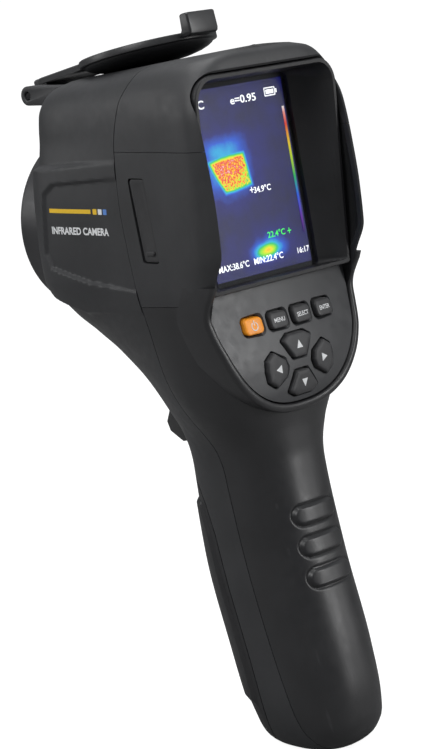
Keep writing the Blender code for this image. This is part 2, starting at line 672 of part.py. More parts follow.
def make_cover():
    axis = (0.0, HINGE_Y, HINGE_Z)
    steps = 40
    disc = []
    for radius, rise in ((14.0, -0.2), (19.0, 1.2), (20.6, 2.6), (COVER_RADIUS, 2.7),
                         (COVER_RADIUS, 4.6), (COVER_RADIUS - 0.5, 5.0)):
        disc.append([cover_point(radius * math.sin(math.tau * i / steps),
                                 COVER_REACH + radius * math.cos(math.tau * i / steps), rise)
                     for i in range(steps)])
    cover = loft("lens_cover", disc, DARK, axis)
    arm = [(-11.0, 1.0), (11.0, 1.0), (12.0, 14.0), (13.0, 26.0), (-13.0, 26.0), (-12.0, 14.0)]
    cut(cover, cover_prism("add_arm", arm, 2.72, 4.98), "UNION")
    neck = [(-11.0, -1.6), (11.0, -1.6), (11.0, 3.2), (-11.0, 3.2)]
    cut(cover, cover_prism("add_neck", neck, 0.4, 4.9), "UNION")
    knuckle = turned("add_knuckle", [(0.0, -12.2), (3.0, -12.2), (3.0, 12.2), (0.0, 12.2)],
                     "X", axis, DARK, 16)
    cut(cover, knuckle, "UNION")
    bridge = [(-6.2, 58.0), (6.2, 58.0), (6.2, 67.0), (-6.2, 67.0)]
    cut(cover, cover_prism("add_bridge", bridge, 2.75, 4.9), "UNION")
    latch = [(-6.2, 63.6), (6.2, 63.6), (6.2, 67.6), (-6.2, 67.6)]
    cut(cover, cover_prism("add_latch", latch, 3.4, 10.4), "UNION")
    bore = turned("cut_cover_bore", [(0.0, -20.0), (1.35, -20.0), (1.35, 20.0), (0.0, 20.0)],
                  "X", axis, DARK, 12)
    cut(cover, bore)
    turned("cover_pin", [(0.0, -16.0), (1.05, -16.0), (1.05, 16.0), (0.0, 16.0)],
           "X", axis, STEEL, 12)


# ---------------------------------------------------------------- trigger

def make_trigger():
    pivot_y, pivot_z = TRIGGER_PIVOT
    lever = [(30.6, 95.2), (38.0, 93.6), (43.4, 96.6), (44.6, 99.6), (43.0, 103.4),
             (38.6, 105.4), (33.6, 106.6), (30.8, 105.6), (30.0, 103.0)]
    origin = (0.0, pivot_y, pivot_z)
    trigger = prism("trigger", rounded_polygon(lever, 0.5, 2), "X", -6.0, 6.0, RUBBER, origin)
    cut(trigger, turned("cut_trigger_hole",
                        [(0.0, -11.0), (1.3, -11.0), (1.3, 11.0), (0.0, 11.0)],
                        "X", origin, RUBBER, 12))
    turned("trigger_pin", [(0.0, -9.5), (1.0, -9.5), (1.0, 9.5), (0.0, 9.5)], "X", origin, STEEL, 12)
    box("trigger_switch", (-3.0, 22.5, 94.5), (3.0, 28.2, 101.5), BOARD)


# ---------------------------------------------------------------- inside the handle and head

def make_battery():
    middle = (0.0, 4.2, 46.0)
    turned("battery_cell", [(0.0, -32.5), (9.2, -32.5), (9.2, 31.2), (3.2, 31.2), (3.2, 32.5),
                            (0.0, 32.5)], "handle", middle, CELL, 24)
    turned("upper_contact", [(0.0, 33.2), (6.0, 33.2), (6.0, 34.0), (0.0, 34.0)], "handle",
           middle, STEEL, 16)
    turned("lower_contact", [(0.0, -35.4), (5.0, -35.4), (2.4, -33.0), (0.0, -33.0)], "handle",
           middle, STEEL, 16)


def make_inside():
    box("main_board", (-27.0, 19.0, 150.0), (27.0, 20.6, 203.0), BOARD)
    box("usb_socket", (-31.6, 12.6, 168.0), (-27.4, 13.7, 175.5), STEEL)
    box("card_socket", (27.4, 12.6, 162.0), (31.6, 13.7, 174.0), STEEL)
    for number, (x, z) in enumerate(((-24.0, 153.5), (24.0, 153.5), (-24.0, 185.0), (24.0, 185.0)), 1):
        turned(f"board_screw_{number}", [(0.0, 16.3), (0.9, 16.3), (0.9, 18.7), (0.0, 18.7)],
               "Y", (x, 0.0, z), STEEL, 8)


make_housings()
make_port_covers()
make_screen()
make_keys()
make_lens()
make_cover()
make_trigger()
make_battery()
make_inside()
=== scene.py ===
"""Pistol-grip thermal imaging camera: the visual model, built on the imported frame.

Shapes are worked out in millimetres and made in metres, in the frame of the CAD model:
+Z up, the screen faces -Y, the lens faces +Y.
"""
import json
import math

import bmesh
import bpy
import numpy as np
from mathutils import Matrix, Vector


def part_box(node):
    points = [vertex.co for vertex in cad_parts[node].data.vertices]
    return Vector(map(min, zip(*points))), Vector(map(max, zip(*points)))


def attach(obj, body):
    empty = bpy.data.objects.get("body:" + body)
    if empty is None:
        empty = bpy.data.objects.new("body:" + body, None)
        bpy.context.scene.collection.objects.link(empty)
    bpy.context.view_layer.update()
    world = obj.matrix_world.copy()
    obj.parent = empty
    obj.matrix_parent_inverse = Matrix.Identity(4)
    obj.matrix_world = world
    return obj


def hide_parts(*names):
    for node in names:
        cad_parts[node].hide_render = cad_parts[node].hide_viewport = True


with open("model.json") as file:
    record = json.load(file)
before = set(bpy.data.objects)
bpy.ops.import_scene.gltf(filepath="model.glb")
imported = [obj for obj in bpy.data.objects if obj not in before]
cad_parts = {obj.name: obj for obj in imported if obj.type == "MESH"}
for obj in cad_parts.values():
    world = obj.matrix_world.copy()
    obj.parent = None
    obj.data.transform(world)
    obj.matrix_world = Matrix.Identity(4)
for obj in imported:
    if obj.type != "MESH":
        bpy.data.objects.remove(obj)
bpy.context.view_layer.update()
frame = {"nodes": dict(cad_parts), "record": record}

MM = 0.001
HALF_GAP = 0.15          # half the parting gap between two mouldings
WALL = 1.8
THIN_GAP = 0.08          # the rear mouldings meet more closely
SCENE = bpy.context.scene

# Body sections: height, half width, back, front, squareness, tilt, width ratio at the front.
SECTIONS = np.array([
    (0.0, 10.0, -17.0, 7.0, 2.4, 0.0, 1.0), (1.0, 12.4, -19.4, 9.6, 2.5, 0.0, 1.0),
    (4.0, 15.0, -22.4, 12.6, 2.6, 0.0, 1.0), (9.0, 16.8, -24.2, 14.6, 2.6, 0.0, 1.0),
    (16.0, 17.5, -24.0, 17.6, 2.6, 0.0, 1.0), (30.0, 17.5, -22.0, 21.8, 2.6, 0.0, 1.0),
    (60.0, 17.5, -14.6, 29.0, 2.6, 0.0, 1.0), (88.0, 17.6, -9.0, 31.4, 2.6, 0.0, 1.0),
    (95.0, 18.8, -8.2, 31.8, 2.6, 0.0, 1.0), (101.0, 21.6, -8.2, 34.2, 2.6, 0.0, 0.9),
    (107.0, 25.4, -8.6, 38.6, 2.7, 0.0, 0.78), (113.0, 28.6, -9.2, 43.6, 2.8, 0.0, 0.70),
    (119.0, 30.8, -9.6, 49.6, 3.0, 0.0, 0.66), (125.0, 32.0, -9.8, 56.6, 3.3, 0.0, 0.66),
    (131.0, 32.9, -9.8, 63.4, 3.8, 0.0, 0.70), (137.0, 33.4, -10.6, 68.0, 4.6, 0.0, 0.80),
    (144.0, 33.8, -11.0, 70.0, 6.0, 0.0, 0.90), (150.0, 34.0, -11.6, 70.5, 7.0, 0.0, 0.94),
    (160.0, 34.2, -14.8, 70.5, 8.0, 0.0, 0.94), (171.0, 34.2, -14.4, 70.5, 8.0, 0.0, 0.94),
    (184.0, 34.0, -13.0, 70.5, 8.0, -0.02, 0.92), (196.0, 33.6, -11.0, 70.5, 8.0, -0.06, 0.88),
    (204.0, 32.6, -8.6, 70.5, 8.0, -0.09, 0.88), (209.5, 30.2, -7.4, 70.0, 7.0, -0.10, 0.88),
    (212.8, 26.5, -6.0, 68.5, 6.0, -0.11, 0.88), (214.4, 21.0, -4.0, 66.0, 5.0, -0.11, 0.88),
])
TILT_PIVOT_Y = 20.0
TAPER_FROM_Y = 10.0

# Parting lines seen from the side: (y, z).
REAR_SEAM = [(20.5, 225.0), (21.0, 214.0), (25.5, 203.0), (27.8, 190.0), (27.4, 175.0),
             (25.5, 160.0), (23.2, 146.0), (20.5, 134.0), (19.0, 122.0), (16.4, 112.0),
             (13.5, 104.0), (10.8, 96.0), (8.8, 84.0), (4.5, 62.0), (-1.0, 41.0),
             (-7.0, 22.0), (-12.0, 9.0), (-17.5, -1.0), (-18.0, -10.0)]
DOOR_SEAM = [(50.0, 86.5), (28.0, 86.0), (23.5, 82.5), (20.2, 77.0), (17.0, 68.0),
             (13.0, 51.0), (6.8, 29.0), (3.0, 14.0), (1.8, 6.0), (1.6, -10.0)]
HOOD_SEAM_Z = 189.9
BAND_SEAM_Z = (145.2, 142.4)

APERTURE_HALF_X = 31.8
APERTURE_TOP_Z = 211.6
APERTURE_SIDE_Z = 150.0
APERTURE_FOOT_Z = 109.4
APERTURE_CORNER = 9.0

SCREEN_CENTRE = (0.0, 3.0, 177.5)
SCREEN_TILT = math.radians(6.5)
PICTURE_SIZE = (43.2, 57.6)
WINDOW_HALF = (22.8, 30.3)
PANEL_TOP_Z = 146.4
PANEL_PROFILE = [(146.4, -4.0), (140.0, -5.4), (135.4, -6.6), (128.0, -8.8), (121.0, -9.8),
                 (115.0, -10.0), (110.0, -9.4), (106.0, -8.2)]

LENS_Z = 164.0
FRONT_Y = 70.5
BEZEL_RADIUS = 28.6
BEZEL_FRONT_Y = 80.0
CAMERA_Z = LENS_Z + 23.2

HINGE_Y, HINGE_Z = 82.8, 205.6
COVER_LEAN = math.radians(11.0)
COVER_REACH = 41.6
LUG_RADIUS = 3.1
SIDE_FLARE = 0.055       # how much wider the head grows towards the screen

# The photograph's viewing angle: focal length, place, and the picture's right and back directions.
CAMERA_LENS = 107.76
CAMERA_PLACE = (-0.4950, -0.4594, 0.2531)
CAMERA_RIGHT = (0.6849, -0.7226, -0.0934)
CAMERA_BACK = (-0.6991, -0.6879, 0.1952)


# ---------------------------------------------------------------- camera, floor and light

def point_camera():
    data = bpy.data.cameras.new("photo_camera")
    data.lens = CAMERA_LENS
    data.sensor_width = 36.0
    data.clip_start, data.clip_end = 0.01, 200.0
    camera = bpy.data.objects.new("photo_camera", data)
    right = Vector(CAMERA_RIGHT).normalized()
    back = Vector(CAMERA_BACK)
    back = (back - right * back.dot(right)).normalized()
    up = back.cross(right)
    turn = Matrix((right, up, back)).transposed().to_4x4()
    camera.matrix_world = Matrix.Translation(CAMERA_PLACE) @ turn
    SCENE.collection.objects.link(camera)
    SCENE.camera = camera


def area_light(name, place, target, size, power, shape="SQUARE", size_y=None):
    data = bpy.data.lights.new(name, "AREA")
    data.shape = "RECTANGLE" if size_y else shape
    data.size = size
    if size_y:
        data.size_y = size_y
    data.energy = power
    light = bpy.data.objects.new(name, data)
    light.location = place
    aim = Vector(target) - Vector(place)
    light.rotation_euler = aim.to_track_quat("-Z", "Y").to_euler()
    SCENE.collection.objects.link(light)


def light_studio():
    target = (0.0, 0.02, 0.13)
    area_light("key_soft", (-0.95, -0.15, 1.0), target, 0.6, 6.5)
    area_light("rear_strip", (0.62, -0.95, 0.42), target, 0.16, 7.5, size_y=1.0)
    area_light("top_soft", (0.1, 0.15, 1.2), target, 0.7, 7.0)
    area_light("lens_fill", (-0.75, 0.85, 0.5), target, 0.5, 2.5)
    world = bpy.data.worlds.new("studio")
    world.use_nodes = True
    tree = world.node_tree
    back = tree.nodes["Background"]
    path = tree.nodes.new("ShaderNodeLightPath")
    seen = tree.nodes.new("ShaderNodeBackground")
    seen.inputs["Color"].default_value = (1.0, 1.0, 1.0, 1.0)
    seen.inputs["Strength"].default_value = 1.0
    back.inputs["Color"].default_value = (0.96, 0.98, 1.0, 1.0)
    coords = tree.nodes.new("ShaderNodeTexCoord")
    split = tree.nodes.new("ShaderNodeSeparateXYZ")
    rise = tree.nodes.new("ShaderNodeMapRange")
    rise.interpolation_type = "SMOOTHSTEP"
    for key, amount in (("From Min", -0.25), ("From Max", 0.95), ("To Min", 0.05),
                        ("To Max", 0.55)):
        rise.inputs[key].default_value = amount
    tree.links.new(coords.outputs["Generated"], split.inputs[0])
    tree.links.new(split.outputs["Z"], rise.inputs["Value"])
    tree.links.new(rise.outputs["Result"], back.inputs["Strength"])
    mix = tree.nodes.new("ShaderNodeMixShader")
    tree.links.new(path.outputs["Is Camera Ray"], mix.inputs[0])
    tree.links.new(back.outputs[0], mix.inputs[1])
    tree.links.new(seen.outputs[0], mix.inputs[2])
    tree.links.new(mix.outputs[0], tree.nodes["World Output"].inputs["Surface"])
    SCENE.world = world
    SCENE.view_settings.view_transform = "Standard"


# ---------------------------------------------------------------- materials

class Graph:
    """Short calls for building a node tree."""

    def __init__(self, name):
        self.material = bpy.data.materials.new(name)
        self.material.use_nodes = True
        self.tree = self.material.node_tree
        self.shader = self.tree.nodes["Principled BSDF"]
        self.output = self.tree.nodes["Material Output"]
        coords = self.tree.nodes.new("ShaderNodeTexCoord")
        self.place = coords.outputs["Object"]

    def node(self, kind, **inputs):
        made = self.tree.nodes.new(kind)
        for key, value in inputs.items():
            self.feed(made.inputs[key.replace("_", " ")], value)
        return made

    def feed(self, socket, value):
        if isinstance(value, bpy.types.NodeSocket):
            self.tree.links.new(value, socket)
        else:
            socket.default_value = value

    def math(self, operation, first, second=0.0, third=0.0):
        made = self.tree.nodes.new("ShaderNodeMath")
        made.operation = operation
        for socket, value in zip(made.inputs, (first, second, third)):
            self.feed(socket, value)
        return made.outputs[0]

    def noise(self, scale, detail=2.0, roughness=0.5, place=None):
        made = self.node("ShaderNodeTexNoise", Scale=scale, Detail=detail, Roughness=roughness)
        self.tree.links.new(place or self.place, made.inputs["Vector"])
        return made.outputs["Fac"]

    def spread(self, value, low, high, from_low=0.3, from_high=0.7):
        made = self.tree.nodes.new("ShaderNodeMapRange")
        for key, amount in (("Value", value), ("From Min", from_low), ("From Max", from_high),
                            ("To Min", low), ("To Max", high)):
            self.feed(made.inputs[key], amount)
        return made.outputs["Result"]

    def ramp(self, value, stops):
        made = self.tree.nodes.new("ShaderNodeValToRGB")
        self.feed(made.inputs[0], value)
        points = made.color_ramp.elements
        while len(points) < len(stops):
            points.new(0.5)
        for point, (where, colour) in zip(points, stops):
            point.position = where
            point.color = (*colour, 1.0)
        return made.outputs["Color"]

    def mix_colour(self, amount, first, second):
        made = self.tree.nodes.new("ShaderNodeMix")
        made.data_type = "RGBA"
        self.feed(made.inputs[0], amount)
        for socket, colour in ((made.inputs[6], first), (made.inputs[7], second)):
            self.feed(socket, (*colour, 1.0) if isinstance(colour, tuple) else colour)
        return made.outputs[2]

    def bump(self, height, distance, strength=1.0, normal=None):
        made = self.node("ShaderNodeBump", Strength=strength, Distance=distance, Height=height)
        if normal is not None:
            self.tree.links.new(normal, made.inputs["Normal"])
        return made.outputs["Normal"]

    def uv_axes(self):
        """The two UV coordinates, as separate numbers."""
        split = self.node("ShaderNodeSeparateXYZ")
        uv = self.tree.nodes.new("ShaderNodeTexCoord").outputs["UV"]
        self.tree.links.new(uv, split.inputs[0])
        return split.outputs["X"], split.outputs["Y"]

    def set(self, **inputs):
        for key, value in inputs.items():
            self.feed(self.shader.inputs[key.replace("_", " ")], value)
        return self


def moulded(name, colour, rough, grain=0.00002, grain_scale=2600.0, highlight_amount=0.35, specular=0.5):
    """Spark-eroded plastic: fine grain, cloudy sheen, faint handling marks, and edges painted
    paler as a highlight.
    """
    g = Graph(name)
    cloud = g.noise(55.0, 3.0)
    smear = g.noise(320.0, 4.0, 0.6)
    deep = tuple(c * 0.86 for c in colour)
    pale = tuple(min(1.0, c * 1.16 + 0.002) for c in colour)
    base = g.mix_colour(g.spread(cloud, 0.0, 1.0), deep, pale)
    # Painted highlight: convex edges are painted paler, broken up by the smear noise.
    edge = g.tree.nodes.new("ShaderNodeNewGeometry").outputs["Pointiness"]
    painted_highlight = g.spread(edge, 0.0, highlight_amount, 0.53, 0.64)
    painted_highlight = g.math("MULTIPLY", painted_highlight, g.spread(smear, 0.35, 1.0))
    base = g.mix_colour(painted_highlight, base, tuple(min(1.0, c * 2.1 + 0.02) for c in colour))
    roughness = g.math("ADD", g.spread(smear, rough - 0.06, rough + 0.05),
                       g.spread(cloud, -0.03, 0.03))
    fine = g.noise(grain_scale, 2.0, 0.6)
    g.set(Base_Color=base, Roughness=roughness, Specular_IOR_Level=specular,
          Normal=g.bump(fine, grain))
    return g.material


def rubbery(name, colour, rough=0.72, grain=0.00003):
    g = Graph(name)
    dust = g.noise(420.0, 5.0, 0.65)
    base = g.mix_colour(g.spread(dust, 0.0, 1.0, 0.4, 0.75), colour,
                        tuple(c * 1.5 + 0.006 for c in colour))
    g.set(Base_Color=base, Roughness=g.spread(dust, rough - 0.05, rough + 0.1),
          Normal=g.bump(g.noise(1900.0, 3.0, 0.7), grain), Sheen_Weight=0.12,
          Sheen_Roughness=0.5)
    return g.material


def metal(name, colour, rough, brushed=(1.0, 1.0, 1.0), scratch=0.00001):
    g = Graph(name)
    stretch = g.node("ShaderNodeMapping")
    g.feed(stretch.inputs["Vector"], g.place)
    stretch.inputs["Scale"].default_value = brushed
    lines = g.noise(2200.0, 3.0, 0.6, stretch.outputs["Vector"])
    tone = g.mix_colour(g.spread(g.noise(140.0, 3.0), 0.0, 1.0), tuple(c * 0.88 for c in colour),
                        colour)
    g.set(Base_Color=tone, Metallic=1.0, Roughness=g.spread(lines, rough - 0.06, rough + 0.08),
          Normal=g.bump(lines, scratch))
    return g.material


def printed(name, colour, glow=0.0):
    """Pad-printed ink, slightly uneven."""
    g = Graph(name)
    patch = g.noise(1500.0, 3.0, 0.6)
    tone = g.mix_colour(g.spread(patch, 0.0, 1.0), tuple(c * 0.9 for c in colour), colour)
    g.set(Base_Color=tone, Roughness=g.spread(patch, 0.42, 0.56),
          Normal=g.bump(patch, 0.000008))
    if glow:
        g.set(Emission_Color=tone, Emission_Strength=glow)
    return g.material


def circuit():
    """Green board with a plated trace pattern."""
    g = Graph("circuit_board")
    cells = g.node("ShaderNodeTexVoronoi", Scale=420.0)
    g.tree.links.new(g.place, cells.inputs["Vector"])
    cells.distance = "MANHATTAN"
    edge = g.spread(cells.outputs["Distance"], 0.0, 1.0, 0.42, 0.46)
    tone = g.mix_colour(edge, (0.012, 0.11, 0.045), (0.03, 0.2, 0.08))
    speck = g.noise(900.0, 2.0)
    tone = g.mix_colour(g.spread(speck, 0.0, 1.0, 0.66, 0.7), tone, (0.7, 0.5, 0.2))
    g.set(Base_Color=tone, Roughness=g.spread(speck, 0.35, 0.5),
          Normal=g.bump(edge, 0.00003))
    return g.material


def wrapped():
    g = Graph("cell_wrap")
    band = g.noise(180.0, 2.0)
    tone = g.mix_colour(g.spread(band, 0.0, 1.0), (0.02, 0.12, 0.34), (0.03, 0.16, 0.42))
    g.set(Base_Color=tone, Roughness=g.spread(band, 0.25, 0.4),
          Normal=g.bump(g.noise(700.0, 3.0), 0.00003))
    return g.material


def lens_coat():
    """Polished germanium with a faint purple-green coating."""
    g = Graph("germanium_coated")
    film = g.node("ShaderNodeLayerWeight", Blend=0.35).outputs["Facing"]
    tone = g.ramp(film, [(0.0, (0.20, 0.13, 0.17)), (0.5, (0.15, 0.2, 0.17)),
                         (1.0, (0.4, 0.36, 0.42))])
    g.set(Base_Color=tone, Metallic=1.0, Roughness=g.spread(g.noise(90.0, 3.0), 0.06, 0.13),
          Normal=g.bump(g.noise(260.0), 0.000003))
    return g.material


def clear_cover():
    """Clear hard-coated window: the picture shows through under a weak reflection."""
    g = Graph("window_glass")
    clear = g.tree.nodes.new("ShaderNodeBsdfTransparent")
    clear.inputs["Color"].default_value = (0.97, 0.975, 0.98, 1.0)
    gloss = g.tree.nodes.new("ShaderNodeBsdfGlossy")
    gloss.inputs["Color"].default_value = (0.9, 0.93, 1.0, 1.0)
    g.feed(gloss.inputs["Roughness"], g.spread(g.noise(240.0, 4.0), 0.05, 0.12))
    g.tree.links.new(g.bump(g.noise(120.0), 0.000004), gloss.inputs["Normal"])
    film = g.node("ShaderNodeFresnel", IOR=1.33)
    mix = g.tree.nodes.new("ShaderNodeMixShader")
    g.tree.links.new(g.math("MULTIPLY", film.outputs[0], 0.08), mix.inputs[0])
    g.tree.links.new(clear.outputs[0], mix.inputs[1])
    g.tree.links.new(gloss.outputs[0], mix.inputs[2])
    g.tree.links.new(mix.outputs[0], g.output.inputs["Surface"])
    return g.material


PALETTE = [(0.0, (0.0008, 0.0008, 0.045)), (0.16, (0.002, 0.004, 0.16)),
           (0.30, (0.003, 0.09, 0.62)), (0.42, (0.01, 0.45, 0.75)), (0.50, (0.01, 0.6, 0.12)),
           (0.58, (0.35, 0.85, 0.01)), (0.66, (0.95, 0.8, 0.01)), (0.76, (1.0, 0.25, 0.01)),
           (0.88, (0.85, 0.01, 0.01)), (1.0, (1.0, 0.75, 0.7))]


HOT_SQUARE = [(-16.3, 6.9), (-0.5, 8.3), (1.3, -2.0), (-11.0, -3.2)]


def heat_picture():
    """The false-colour picture: one hot square, one warm spot low down, a cold wall behind."""
    g = Graph("screen_image")
    across, up = (g.math("MULTIPLY", g.math("SUBTRACT", axis, 0.5), size)
                  for axis, size in zip(g.uv_axes(), PICTURE_SIZE))

    def turned_place(x, y, angle):
        dx, dy = g.math("SUBTRACT", across, x), g.math("SUBTRACT", up, y)
        c, s = math.cos(angle), math.sin(angle)
        u = g.math("ADD", g.math("MULTIPLY", dx, c), g.math("MULTIPLY", dy, s))
        v = g.math("SUBTRACT", g.math("MULTIPLY", dy, c), g.math("MULTIPLY", dx, s))
        return u, v

    def bell(x, y, angle, wide, tall):
        u, v = turned_place(x, y, angle)
        u, v = g.math("DIVIDE", u, wide), g.math("DIVIDE", v, tall)
        far = g.math("ADD", g.math("MULTIPLY", u, u), g.math("MULTIPLY", v, v))
        return g.math("EXPONENT", g.math("MULTIPLY", far, -1.0))

    inside = None
    for (xa, ya), (xb, yb) in zip(HOT_SQUARE, HOT_SQUARE[1:] + HOT_SQUARE[:1]):
        length = math.hypot(xb - xa, yb - ya)
        nx, ny = (yb - ya) / length, -(xb - xa) / length
        depth = g.math("ADD", g.math("MULTIPLY", g.math("SUBTRACT", across, xa), nx),
                       g.math("MULTIPLY", g.math("SUBTRACT", up, ya), ny))
        inside = depth if inside is None else g.math("SMOOTH_MIN", inside, depth, 0.7)
    square = g.spread(inside, 0.0, 0.36, -0.7, 1.0)
    speckle = g.noise(1500.0, 1.0, 0.5)
    fleck = g.spread(speckle, -0.1, 0.17, 0.35, 0.65)
    fleck = g.math("MULTIPLY", fleck, g.spread(inside, 0.0, 1.0, 0.3, 1.3))
    halo = g.math("MULTIPLY", bell(-8.5, 4.0, 0.0, 12.0, 8.5), 0.40)
    streak = g.math("MULTIPLY", bell(-10.0, 11.0, 0.1, 13.0, 3.5), 0.14)
    spot = g.math("MULTIPLY", bell(2.8, -22.6, 0.06, 6.6, 2.7), 0.52)
    spill = g.math("MULTIPLY", bell(4.0, -20.0, 0.0, 13.0, 6.0), 0.14)
    heat = 0.03
    for part in (square, fleck, halo, streak, spot, spill,
                 g.spread(g.noise(170.0, 3.0), -0.03, 0.05)):
        heat = g.math("ADD", heat, part)
    picture = g.ramp(heat, PALETTE)
    g.set(Base_Color=(0.004, 0.004, 0.006, 1.0), Roughness=0.35, Emission_Color=picture,
          Emission_Strength=1.0)
    return g.material


def scale_bar():
    """The colour scale at the right of the picture."""
    g = Graph("screen_scale")
    tone = g.ramp(g.uv_axes()[1],
                  [(0.0, (0.02, 0.0, 0.12)), (0.12, (0.12, 0.0, 0.35)), (0.3, (0.0, 0.1, 0.8)),
                   (0.45, (0.0, 0.5, 0.1)), (0.6, (0.5, 0.75, 0.0)), (0.72, (0.9, 0.6, 0.0)),
                   (0.86, (0.8, 0.02, 0.0)), (0.95, (0.9, 0.3, 0.25)), (1.0, (1.0, 0.95, 0.9))])
    g.set(Base_Color=(0.0, 0.0, 0.0, 1.0), Emission_Color=tone, Emission_Strength=0.8)
    return g.material


def make_materials():
    grey, dark = (0.021, 0.0215, 0.0235), (0.0125, 0.0125, 0.014)
    return {
        "housing_grey": moulded("housing_grey", grey, 0.5),
        "housing_dark": moulded("housing_dark", dark, 0.4, 0.00001, specular=0.55),
        "door_dark": moulded("door_dark", dark, 0.52),
        "surround_dark": moulded("surround_dark", (0.009, 0.009, 0.0105), 0.5),
        "panel_grey": moulded("panel_grey", (0.04, 0.041, 0.044), 0.42, 0.000012),
        "bezel_dark": moulded("bezel_dark", (0.016, 0.016, 0.018), 0.42),
        "cover_dark": moulded("cover_dark", (0.02, 0.0205, 0.022), 0.38, 0.00001),
        "switch_plastic": moulded("switch_plastic", (0.25, 0.24, 0.22), 0.45),
        "rubber_black": rubbery("rubber_black", (0.010, 0.010, 0.011)),
        "key_rubber": rubbery("key_rubber", (0.016, 0.016, 0.018), 0.5, 0.00001),
        "port_rubber": rubbery("port_rubber", (0.013, 0.013, 0.0145), 0.6),
        "trigger_rubber": rubbery("trigger_rubber", (0.014, 0.014, 0.015), 0.55),
        "key_orange": moulded("key_orange", (0.95, 0.30, 0.012), 0.42, 0.00001, highlight_amount=0.0),
        "window_glass": clear_cover(),
        "screen_image": heat_picture(),
        "steel": metal("steel", (0.62, 0.62, 0.64), 0.3, (1.0, 1.0, 12.0)),
        "pin_black": metal("pin_black", (0.03, 0.03, 0.032), 0.45),
        "germanium": lens_coat(),
        "circuit_board": circuit(),
        "cell_wrap": wrapped(),
        "ink_white": printed("ink_white", (0.78, 0.79, 0.8)),
        "ink_amber": printed("ink_amber", (0.83, 0.52, 0.02)),
        "ink_blue": printed("ink_blue", (0.10, 0.24, 0.62)),
        "glyph_white": printed("glyph_white", (0.95, 0.95, 0.95), 0.95),
        "glyph_green": printed("glyph_green", (0.05, 0.75, 0.08), 0.9),
        "screen_scale": scale_bar(),
    }


# ---------------------------------------------------------------- shape helpers

def monotone(xs, ys):
    """A smooth curve through points that never overshoots them."""
    xs, ys = np.array(xs, float), np.array(ys, float)
    h = np.diff(xs)
    slope = np.diff(ys) / h
    m = np.zeros_like(ys)
    for i in range(1, len(xs) - 1):
        if slope[i - 1] * slope[i] > 0:
            a, b = 2 * h[i] + h[i - 1], h[i] + 2 * h[i - 1]
            m[i] = (a + b) / (a / slope[i - 1] + b / slope[i])
    m[0], m[-1] = slope[0], slope[-1]

    def at(x):
        x = np.clip(x, xs[0], xs[-1])
        i = np.clip(np.searchsorted(xs, x) - 1, 0, len(xs) - 2)
        t = (x - xs[i]) / h[i]
        return ((2 * t ** 3 - 3 * t ** 2 + 1) * ys[i] + (t ** 3 - 2 * t ** 2 + t) * h[i] * m[i]
                + (3 * t ** 2 - 2 * t ** 3) * ys[i + 1] + (t ** 3 - t ** 2) * h[i] * m[i + 1])
    return at


def smoothstep(low, high, value):
    t = np.clip((value - low) / (high - low), 0.0, 1.0)
    return t * t * (3 - 2 * t)


SECTION_CURVES = [monotone(SECTIONS[:, 0], SECTIONS[:, k]) for k in range(1, 7)]
seam_y = monotone([z for _, z in reversed(REAR_SEAM)], [y for y, _ in reversed(REAR_SEAM)])
panel_face = monotone([z for z, _ in reversed(PANEL_PROFILE)],
                      [y for _, y in reversed(PANEL_PROFILE)])
HALF_RING = 500


def half_ring(height):
    """Points of the section on the +X side, from the front centre to the rear centre."""
    half, back, front, square, tilt, ratio = (float(c(height)) for c in SECTION_CURVES)
    middle, depth = (front + back) / 2, (front - back) / 2
    angle = np.linspace(math.pi / 2, -math.pi / 2, HALF_RING)
    c, s = np.abs(np.cos(angle)), np.sin(angle)
    reach = ((c / half) ** square + (np.abs(s) / depth) ** square) ** (-1 / square)
    x, y = reach * c, middle + reach * s
    t = np.clip((y - TAPER_FROM_Y) / (front - TAPER_FROM_Y), 0.0, 1.0)
    x = x * (1 - (1 - ratio) * t * t * (3 - 2 * t))
    flare = smoothstep(10.0, -8.0, y) * smoothstep(104.0, 130.0, height)
    x = x * (1 + SIDE_FLARE * flare * smoothstep(212.0, 198.0, height))
    z = height + tilt * (y - TILT_PIVOT_Y)
    return np.stack([x, y, z], axis=1)


def resample(points, count):
    steps = np.linalg.norm(np.diff(points, axis=0), axis=1)
    along = np.concatenate([[0.0], np.cumsum(steps)])
    where = np.linspace(0.0, along[-1], count)
    return np.stack([np.interp(where, along, points[:, k]) for k in range(3)], axis=1)


def patch_row(height, forward, count):
    """One row of a housing skin: the part of a section ahead of or behind the parting line."""
    ring = half_ring(height)
    edge = seam_y(ring[:, 2]) + (HALF_GAP if forward else -HALF_GAP)
    side = ring[:, 1] - edge
    keep = side > 0 if forward else side < 0
    found = np.nonzero(keep)[0]
    if len(found) == 0:
        found = np.array([HALF_RING - 1])
    cut = found[-1] if forward else found[0]
    beyond = min(cut + 1, HALF_RING - 1) if forward else cut - 1
    share = side[cut] / (side[cut] - side[beyond]) if side[cut] * side[beyond] < 0 else 0.0
    crossing = ring[cut] + (ring[beyond] - ring[cut]) * share
    if forward:
        half = resample(np.vstack([ring[:cut + 1], crossing])[::-1], count)
    else:
        half = resample(np.vstack([crossing, ring[cut:]]), count)
    mirror = half[::-1][1:] * (-1, 1, 1)
    return np.vstack([half, mirror])


